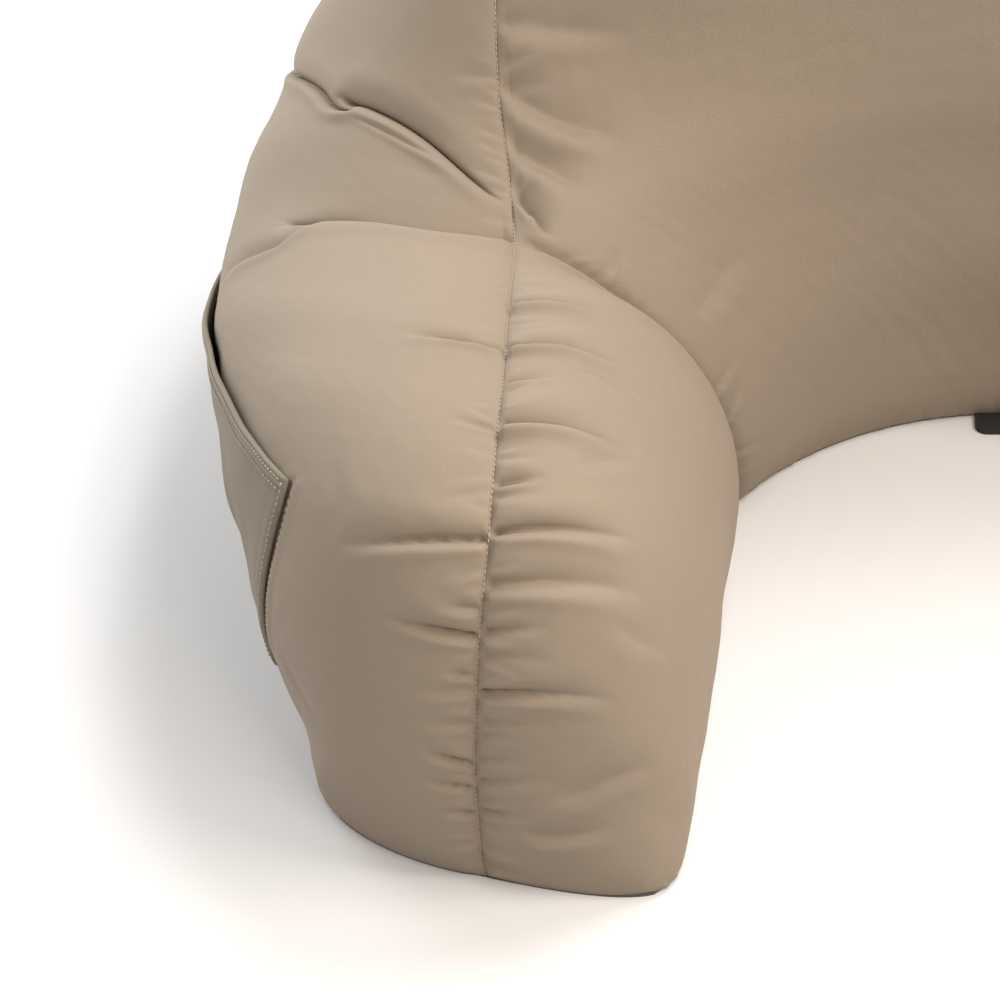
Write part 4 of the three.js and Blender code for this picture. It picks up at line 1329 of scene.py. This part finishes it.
        bottom = np.array([1.0])
        foot = np.linspace(1, 0, 50)
        seat_side = np.vstack([
            foot_line(FRONT_ROWS, inner_points(np.array([ELBOW]), bottom)[0]),
            inner_points(np.linspace(0, ELBOW, 120), bottom)[::-1, 0],
            inner_points(np.array([0.0]), foot)[0],
        ])
        outside = np.vstack([
            foot_line(REAR_ROWS, side_points(np.array([REAR_FOOT]), bottom)[0]),
            side_points(np.linspace(0, REAR_FOOT, 160), bottom)[::-1, 0],
            side_points(np.array([0.0]), foot)[0],
        ])
        return self.ribbon("base_panel", seat_side, outside)

    def ribbon(self, name: str, seat_side: np.ndarray, outside: np.ndarray) -> bpy.types.Object:
        """Flat cloth between two lines of one half, and the same mirrored.

        Args:
            name: Name of the piece.
            seat_side: Line round the seat, from the centre plane to the arm's foot.
            outside: Line round the outside, between the same ends.

        Returns:
            The new object.
        """
        def evened(line: np.ndarray) -> np.ndarray:
            """The line at even steps of its length, seen from above.

            Args:
                line: Points of the line.

            Returns:
                Points (out, forward), one for each row of the base.
            """
            lengths = running(line, 0)
            keep = np.append(True, np.diff(lengths) > 1e-6)
            even = np.linspace(0, lengths[-1], self.base_rows)
            return np.column_stack([np.interp(even, lengths[keep], line[keep, k])
                                    for k in range(2)])

        def proud(line: np.ndarray, other: np.ndarray) -> np.ndarray:
            """The line moved out of the cloth, away from the other.

            Args:
                line: The line.
                other: Line on the other side of the cloth.

            Returns:
                The moved line.
            """
            run = np.gradient(line, axis=0)
            normal = np.column_stack([run[:, 1], -run[:, 0]])
            normal /= np.maximum(np.linalg.norm(normal, axis=1, keepdims=True), 1e-9)
            away = np.sign(np.sum(normal * (line - other), axis=1, keepdims=True))
            away[-1] = away[-2]
            return line + self.base_proud * normal * away

        first, second = evened(seat_side), evened(outside)
        first, second = proud(first, second), proud(second, first)
        first[0, 0] = second[0, 0] = 0
        share = np.linspace(0, 1, self.base_columns + 1)[None, :, None]
        flat = first[:, None] * (1 - share) + second[:, None] * share
        index = np.arange(flat[..., 0].size).reshape(flat.shape[:2])
        border = np.concatenate([index[:, 0], index[-1, 1:], index[-2::-1, -1]])
        layers, polygons = [], []
        for side in Side:
            low = len(layers) * index.size
            high = low + index.size
            for up in (0.0, self.base_edge):
                layer = np.concatenate([flat, np.full(flat.shape[:2] + (1,), up)], -1)
                layers.append(self.cutter.place(layer, side).reshape(-1, 3))
            rim, hem = border + low, border + high
            wall = np.stack([rim[:-1], rim[1:], hem[1:], hem[:-1]], -1)
            faces = np.vstack([grid_quads(index + low), grid_quads(index + high)[:, ::-1], wall])
            polygons += (faces if side is Side.LEFT else faces[:, ::-1]).tolist()
        positions = np.vstack(layers)
        piece = mesh_piece(name, positions, polygons, positions[:, :2], smooth=False)
        bpy.ops.object.select_all(action="DESELECT")
        bpy.context.view_layer.objects.active = piece
        piece.select_set(True)
        bpy.ops.object.mode_set(mode="EDIT")
        bpy.ops.mesh.select_all(action="SELECT")
        bpy.ops.mesh.remove_doubles(threshold=1e-5)
        bpy.ops.mesh.normals_make_consistent(inside=False)
        bpy.ops.object.mode_set(mode="OBJECT")
        piece.select_set(False)
        return piece

    def build(self) -> None:
        """Make and dress every panel of the cushion."""
        pieces = []
        for side in Side:
            pieces += [self.side_panel(side), self.inner_panel(side)]
        pieces += [self.front_panel(), self.rear_panel()]
        for piece in pieces:
            dress(piece, COVER, "cover", "cushion")
        self.seam_stitches()
        for side, panel in self.sides.items():
            PatchPocket(side).build(panel, self.cutter)
        # The base panel's near-black cloth paints the shade line round the cushion's foot.
        dress(self.base_panel(), BASE_SHADE_CLOTH, "base_cloth", "cushion")


@dataclass
class Stitching:
    """Rows of lock stitches, each stitch a short rounded bar of thread."""

    pitch: float = 2.5
    length: float = 1.75
    radius: float = 0.3
    sides: int = 6

    def __post_init__(self) -> None:
        """Start with no stitches."""
        self.positions: list[np.ndarray] = []
        self.blocks: list[int] = []

    def sew(self, line: np.ndarray, up: np.ndarray, lift: float, pitch: float = 0.0) -> None:
        """Add the stitches of one line.

        Args:
            line: Points of the line, in millimetres.
            up: Outward direction at each point.
            lift: Height of the thread's middle over the line.
            pitch: Distance between stitches, or 0 for the usual one.
        """
        lengths = running(line, 0)
        count = int(lengths[-1] / (pitch or self.pitch))
        spots = (np.arange(count) + 0.5) * lengths[-1] / count

        def along(values: np.ndarray, places: np.ndarray) -> np.ndarray:
            """Values at places along the line."""
            return np.column_stack([np.interp(places, lengths, values[:, k]) for k in range(3)])

        middle, normal = along(line, spots), along(up, spots)
        normal /= np.linalg.norm(normal, axis=1, keepdims=True)
        run = along(line, spots + 0.4) - along(line, spots - 0.4)
        run /= np.linalg.norm(run, axis=1, keepdims=True)
        out = np.cross(run, normal)
        stretch = (pitch or self.pitch) / self.pitch
        for share, girth in ((-0.5, 0.35), (-0.28, 1.0), (0.28, 1.0), (0.5, 0.35)):
            sink = -0.9 * self.radius if girth < 1 else 0.0
            for side in range(self.sides):
                turn = 2 * np.pi * side / self.sides
                arm = np.cos(turn) * out + np.sin(turn) * normal
                point = middle + share * self.length * stretch * run
                point = point + (lift + sink) * normal + girth * self.radius * arm
                self.positions.append(point)
        self.blocks.append(len(middle))

    def piece(self, name: str, cutter: ShellCutter, side: Side) -> bpy.types.Object:
        """The thread as one piece.

        Args:
            name: Name of the piece.
            cutter: Cutter that places points in the model.
            side: Half that the thread is in; the left one mirrors it.

        Returns:
            The new object.
        """
        rings, sides = 4, self.sides
        stitch = []
        for ring in range(rings - 1):
            for corner in range(sides):
                after = (corner + 1) % sides
                stitch.append([ring * sides + corner, ring * sides + after,
                               (ring + 1) * sides + after, (ring + 1) * sides + corner])
        stitch += [list(range(sides))[::-1], list(range((rings - 1) * sides, rings * sides))]
        if side is Side.LEFT:
            stitch = [face[::-1] for face in stitch]
        points, polygons, start = [], [], 0
        per_stitch = rings * sides
        for block, rows in enumerate(self.blocks):
            group = self.positions[block * per_stitch:(block + 1) * per_stitch]
            corners = np.stack(group, 1).reshape(-1, 3)
            points.append(corners)
            for row in range(rows):
                first = start + row * per_stitch
                polygons += [[first + corner for corner in face] for face in stitch]
            start += len(corners)
        positions = cutter.place(np.vstack(points), side)
        return mesh_piece(name, positions, polygons, positions[:, :2])


@dataclass
class PatchPocket:
    """Patch pocket on the outer side of an arm, with a turned and double-stitched hem."""

    side: Side
    steps_along: int = 190
    steps_down: int = 72
    cloth: float = 1.3
    gap: float = 1.1
    gape: float = 2.8
    edge_gap: float = -0.5
    hem: float = 8.5
    hem_extra: float = 0.9
    hem_rows: tuple[float, float] = (2.4, 6.2)
    edge_row: float = 2.2
    edge_hem: float = 7.5
    hem_step: float = 1.2
    gape_depth: float = 26.0
    edge_reach: float = 9.0
    foot_drop: float = 0.8
    foot_reach: float = 14.0
    ripple: float = 0.15
    ripple_waves: int = 7
    row_dent: float = 0.42
    row_width: float = 0.75
    thread_radius: float = 0.34
    thread_pitch: float = 3.0

    def grid(self) -> tuple[np.ndarray, np.ndarray]:
        """Grid of the pocket on its side panel.

        Returns:
            Row places and shares across, a row for each step along the mouth.
        """
        share = np.linspace(0, 1, self.steps_along + 1)
        down = np.linspace(0, 1, self.steps_down + 1) ** 1.25
        top = POCKET_TOP[0, 0] + share * (POCKET_TOP[-1, 0] - POCKET_TOP[0, 0])
        low = POCKET_BOTTOM[0, 0] + share * (POCKET_BOTTOM[-1, 0] - POCKET_BOTTOM[0, 0])
        mouth = between(POCKET_TOP[:, 0], POCKET_TOP[:, 1], top)
        foot = between(POCKET_BOTTOM[:, 0], POCKET_BOTTOM[:, 1], low)
        places = top[:, None] + down[None] * (low - top)[:, None]
        shares = mouth[:, None] + down[None] ** 1.25 * (foot - mouth)[:, None]
        return places, shares

    def build(self, panel: Panel, cutter: ShellCutter) -> None:
        """Make the pocket and its stitches on a side panel.

        Args:
            panel: The dressed side panel.
            cutter: Cutter that places points in the model.
        """
        places, shares = self.grid()
        calm = relaxed(panel.dressed(), CALM_PASSES)
        rest = panel.at(calm, places, shares)
        normal = panel.at(panel.normals(calm), places, shares)
        normal /= np.linalg.norm(normal, axis=-1, keepdims=True)
        down, along = running(rest, 1), running(rest, 0)
        to_edge = np.minimum(along, along[-1:] - along)
        to_foot = down[:, -1:] - down
        rise = self.rise(down, along, to_edge, to_foot)
        thick = self.thickness(down, to_edge, to_foot)
        inner = rest + normal * rise[..., None]
        outer = rest + normal * (rise + thick)[..., None]
        name = f"patch_pocket_{self.side.word}"
        piece = self.sheet(name, inner, outer, down, along, cutter)
        dress(piece, POCKET_CLOTH, "pocket_cloth", f"pocket_{self.side.word}")
        self.stitch(name, outer, normal, down, along, to_edge, cutter)

    def rise(self, down: np.ndarray, along: np.ndarray, to_edge: np.ndarray,
             to_foot: np.ndarray) -> np.ndarray:
        """Distance of the pocket's inner face from the side panel.

        Args:
            down: Length of each point from the mouth.
            along: Length of each point from the front edge.
            to_edge: Distance of each point from the nearer edge.
            to_foot: Distance of each point from the foot.

        Returns:
            The distances, in millimetres.
        """
        bow = np.sin(np.pi * along / along[-1:]) ** 0.7
        rise = self.gap + self.gape * bow * np.exp(-(down / self.gape_depth) ** 1.4)
        rise += self.edge_gap * np.exp(-(to_edge / self.edge_reach) ** 2)
        rise -= self.foot_drop * np.exp(-(to_foot / self.foot_reach) ** 2)
        nearest = np.minimum(np.minimum(down, to_edge), to_foot)
        chance = np.random.default_rng(31 if self.side is Side.LEFT else 32)
        ripple = np.zeros_like(rise)
        for _ in range(self.ripple_waves):
            number = 2 * np.pi / chance.uniform(28, 70)
            turn, phase = chance.uniform(-0.9, 0.9), chance.uniform(0, 6.28)
            ripple += np.sin(number * (along * np.cos(turn) + down * np.sin(turn)) + phase)
        calm = 1 - np.exp(-(nearest / self.foot_reach) ** 2)
        return rise + self.ripple * calm * (ripple + 2)

    def thickness(self, down: np.ndarray, to_edge: np.ndarray,
                  to_foot: np.ndarray) -> np.ndarray:
        """Thickness of the pocket: turned hems, dented by their stitches, and a round rim.

        Args:
            down: Length of each point from the mouth.
            to_edge: Distance of each point from the nearer edge.
            to_foot: Distance of each point from the foot.

        Returns:
            The thickness at each point, in millimetres.
        """
        to_side = np.minimum(to_edge, to_foot)
        hem = smooth_step((self.hem - down) / self.hem_step + 0.5)
        edge_hem = smooth_step((self.edge_hem - to_side) / self.hem_step + 0.5)
        thick = self.cloth + self.hem_extra * np.maximum(hem, 0.8 * edge_hem)
        for row in self.hem_rows:
            thick -= self.row_dent * np.exp(-((down - row) / self.row_width) ** 2)
            thick += 0.16 * np.exp(-((down - row - 1.8) / 0.9) ** 2)
        thick -= self.row_dent * np.exp(-((to_side - self.edge_row) / self.row_width) ** 2)
        nearest = np.minimum(down, to_side)
        return thick * np.sqrt(1 - np.clip(1 - nearest / 1.3, 0, 1) ** 2 * 0.75)

    def sheet(self, name: str, inner: np.ndarray, outer: np.ndarray, down: np.ndarray,
              along: np.ndarray, cutter: ShellCutter) -> bpy.types.Object:
        """Closed sheet between its inner and outer points.

        Args:
            name: Name of the piece.
            inner: Points of its inner face.
            outer: Points of its outer face.
            down: Length of each point from the mouth.
            along: Length of each point from the front edge.
            cutter: Cutter that places points in the model.

        Returns:
            The new object.
        """
        top = np.arange(outer[..., 0].size).reshape(outer.shape[:2])
        under = top + top.size
        rim, seam = grid_border(top), grid_border(under)
        wall = np.stack([rim, seam, np.roll(seam, -1), np.roll(rim, -1)], -1)
        faces = np.vstack([grid_quads(top), grid_quads(under)[:, ::-1], wall])
        if self.side is Side.LEFT:
            faces = faces[:, ::-1]
        points = np.vstack([outer.reshape(-1, 3), inner.reshape(-1, 3)])
        flat = np.stack([along, down], -1).reshape(-1, 2) * MILLIMETRE
        return mesh_piece(name, cutter.place(points, self.side), faces.tolist(),
                          np.vstack([flat, flat]))

    def stitch(self, name: str, outer: np.ndarray, normal: np.ndarray, down: np.ndarray,
               along: np.ndarray, to_edge: np.ndarray, cutter: ShellCutter) -> None:
        """Sew the double row of the hem and the row along the pocket's edges.

        Args:
            name: Name of the pocket.
            outer: Points of its outer face.
            normal: Outward direction at each point.
            down: Length of each point from the mouth.
            along: Length of each point from the front edge.
            to_edge: Distance of each point from the nearer edge.
            cutter: Cutter that places points in the model.
        """
        thread = Stitching(radius=self.thread_radius)

        def row_at(distance: float) -> tuple[np.ndarray, np.ndarray]:
            """Line at a distance below the mouth.

            Args:
                distance: The distance, in millimetres.

            Returns:
                Points of the line, and the outward direction at each.
            """
            picked, tilted = [], []
            for k in range(len(outer)):
                if to_edge[k, 0] > 3:
                    picked.append([np.interp(distance, down[k], outer[k, :, m]) for m in range(3)])
                    tilted.append(normal[k, 4])
            return np.array(picked), np.array(tilted)

        for distance in self.hem_rows:
            line, up = row_at(distance)
            thread.sew(line, up, lift=0.38, pitch=self.thread_pitch)
        front = np.full(along.shape[1], self.edge_row)
        for spots, row in ((front, 3), (along[-1] - self.edge_row, -3)):
            line = [[np.interp(spots[j], along[:, j], outer[:, j, m]) for m in range(3)]
                    for j in range(4, outer.shape[1] - 2)]
            thread.sew(np.array(line), normal[row, 4:-2], lift=0.22, pitch=self.thread_pitch)
        dress(thread.piece(f"{name}_stitches", cutter, self.side), THREAD, "pocket_cloth")


@dataclass
class PullTab:
    """Short folded tape at the middle of the base's front edge."""

    corner: float = 5.5
    rim: float = 1.6
    rim_sink: float = 0.4
    middle_rim: float = 0.7
    middle_rise: float = 0.3
    soft_edge: float = 0.5

    def build(self) -> None:
        """Model the tab from a block of its solid's size, with round front corners."""
        low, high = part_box("base_tab")
        size = [high[k] - low[k] for k in range(3)]
        middle = [(high[k] + low[k]) / 2 for k in range(3)]
        bpy.ops.object.select_all(action="DESELECT")
        bpy.ops.mesh.primitive_cube_add(size=1, location=middle)
        tab = bpy.context.object
        tab.name = "pull_tab"
        tab.scale = size
        bpy.ops.object.transform_apply(location=True, rotation=False, scale=True)
        bpy.ops.object.mode_set(mode="EDIT")
        bpy.ops.mesh.select_mode(type="EDGE")
        bpy.ops.mesh.select_all(action="DESELECT")
        bpy.ops.object.mode_set(mode="OBJECT")
        for edge in tab.data.edges:
            ends = [tab.data.vertices[v].co for v in edge.vertices]
            upright = abs(ends[0].z - ends[1].z) > size[2] / 2
            edge.select = upright and ends[0].y < middle[1]
        bpy.ops.object.mode_set(mode="EDIT")
        bpy.ops.mesh.bevel(offset=self.corner * MILLIMETRE, segments=8)
        bpy.ops.mesh.select_mode(type="FACE")
        bpy.ops.mesh.select_all(action="DESELECT")
        bpy.ops.object.mode_set(mode="OBJECT")
        for face in tab.data.polygons:
            face.select = face.normal.z > 0.9
        bpy.ops.object.mode_set(mode="EDIT")
        bpy.ops.mesh.inset(thickness=self.rim * MILLIMETRE, depth=-self.rim_sink * MILLIMETRE)
        bpy.ops.mesh.inset(thickness=self.middle_rim * MILLIMETRE,
                           depth=self.middle_rise * MILLIMETRE)
        bpy.ops.object.mode_set(mode="OBJECT")
        soften = tab.modifiers.new("soft_edges", "BEVEL")
        soften.width = self.soft_edge * MILLIMETRE
        soften.segments = 3
        bpy.ops.object.modifier_apply(modifier=soften.name)
        bpy.ops.object.shade_smooth_by_angle(angle=math.radians(40))
        place = np.zeros(3 * len(tab.data.vertices))
        tab.data.vertices.foreach_get("co", place)
        for layer in list(tab.data.uv_layers):
            tab.data.uv_layers.remove(layer)
        lay_flat(tab.data, place.reshape(-1, 3)[:, :2])
        bpy.ops.object.origin_set(type="ORIGIN_CURSOR")
        dress(tab, TAPE, "base_cloth", "base_tab")


class SoftLight(NamedTuple):
    """A square soft light: place, aim and side in metres, power in watts."""

    name: str
    place: Point
    aim: Point
    size: float
    power: float
    colour: Point


LIGHTS: list[SoftLight] = [
    SoftLight("key", (0.3, 0.5, 1.6), (-0.15, 0.0, 0.15), 0.5, 19, (0.98, 0.98, 1)),
    SoftLight("seat", (0.62, -0.3, 1.25), (-0.1, -0.05, 0.2), 0.6, 16, (1, 0.91, 0.83)),
    SoftLight("seat_low", (0.2, -0.75, 0.7), (0.05, 0, 0.25), 0.5, 5.5, (1, 0.9, 0.79)),
    SoftLight("left_back", (-0.8, 0.5, 0.5), (-0.25, 0.05, 0.35), 0.5, 7, (0.95, 0.97, 1)),
    SoftLight("left", (-1.6, -0.1, 0.55), (-0.3, 0, 0.2), 1.2, 8, (0.95, 0.98, 1)),
]


class Studio:
    """Floor, lights and camera."""

    def floor(self) -> None:
        """Pale floor under the pillow."""
        bpy.ops.mesh.primitive_plane_add(size=12, location=(0, 0, 0))
        floor = bpy.context.object
        floor.name = "floor"
        paint = bpy.data.materials.new("floor_paint")
        paint.use_nodes = True
        shader = paint.node_tree.nodes["Principled BSDF"]
        shader.inputs["Base Color"].default_value = (0.6, 0.6, 0.6, 1)
        shader.inputs["Roughness"].default_value = 0.9
        floor.data.materials.append(paint)

    def area(self, light: SoftLight) -> None:
        """Hang a square soft light.

        Args:
            light: The light.
        """
        data = bpy.data.lights.new(light.name, "AREA")
        data.color = light.colour
        data.size = light.size
        data.energy = light.power
        lamp = bpy.data.objects.new(light.name, data)
        lamp.location = light.place
        ahead = Vector(light.aim) - Vector(light.place)
        lamp.rotation_euler = ahead.to_track_quat("-Z", "Y").to_euler()
        bpy.context.scene.collection.objects.link(lamp)

    def sky(self, strength: float, colour: Point) -> None:
        """Even light from all round.

        Args:
            strength: Its strength.
            colour: Its colour.
        """
        world = bpy.data.worlds.new("studio")
        world.use_nodes = True
        back = world.node_tree.nodes["Background"]
        back.inputs["Color"].default_value = (*colour, 1)
        back.inputs["Strength"].default_value = strength
        bpy.context.scene.world = world

    def camera(self) -> None:
        """Camera at the photograph's place, aimed through the middle of its frame."""
        elevation = math.radians(35)
        distance = 2.25
        focal = 5.0336
        photo_middle = (-0.5, 0.3004)
        pivot = Vector((0, DEPTH_MIDDLE * MILLIMETRE, 0.12))
        back = Vector((0, -math.cos(elevation), math.sin(elevation)))
        data = bpy.data.cameras.new("photo_camera")
        data.sensor_fit = "HORIZONTAL"
        data.sensor_width = 36
        data.lens = focal * data.sensor_width
        data.clip_start = 0.05
        data.clip_end = 50
        camera = bpy.data.objects.new("photo_camera", data)
        ahead = -back
        right = ahead.cross(Vector((0, 0, 1))).normalized()
        up = right.cross(ahead)
        aim = ahead + right * (photo_middle[0] / focal) - up * (photo_middle[1] / focal)
        level = Matrix((right, up, back)).transposed()
        turn = ahead.rotation_difference(aim.normalized()).to_matrix()
        camera.matrix_world = Matrix.Translation(pivot + back * distance) @ (turn @ level).to_4x4()
        bpy.context.scene.collection.objects.link(camera)
        bpy.context.scene.camera = camera

    def build(self) -> None:
        """Set the studio up."""
        bpy.ops.object.select_all(action="DESELECT")
        self.floor()
        self.sky(0.48, (1, 0.95, 0.91))
        for light in LIGHTS:
            self.area(light)
        self.camera()
        bpy.context.scene.view_settings.view_transform = "Standard"


def main() -> None:
    """Build every piece, in order."""
    logging.basicConfig(level=logging.INFO, format="%(name)s: %(message)s")
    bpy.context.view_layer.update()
    Studio().build()
    CushionCover().build()
    PullTab().build()
    log.info("sizes written")


if __name__ == "__main__":
    main()
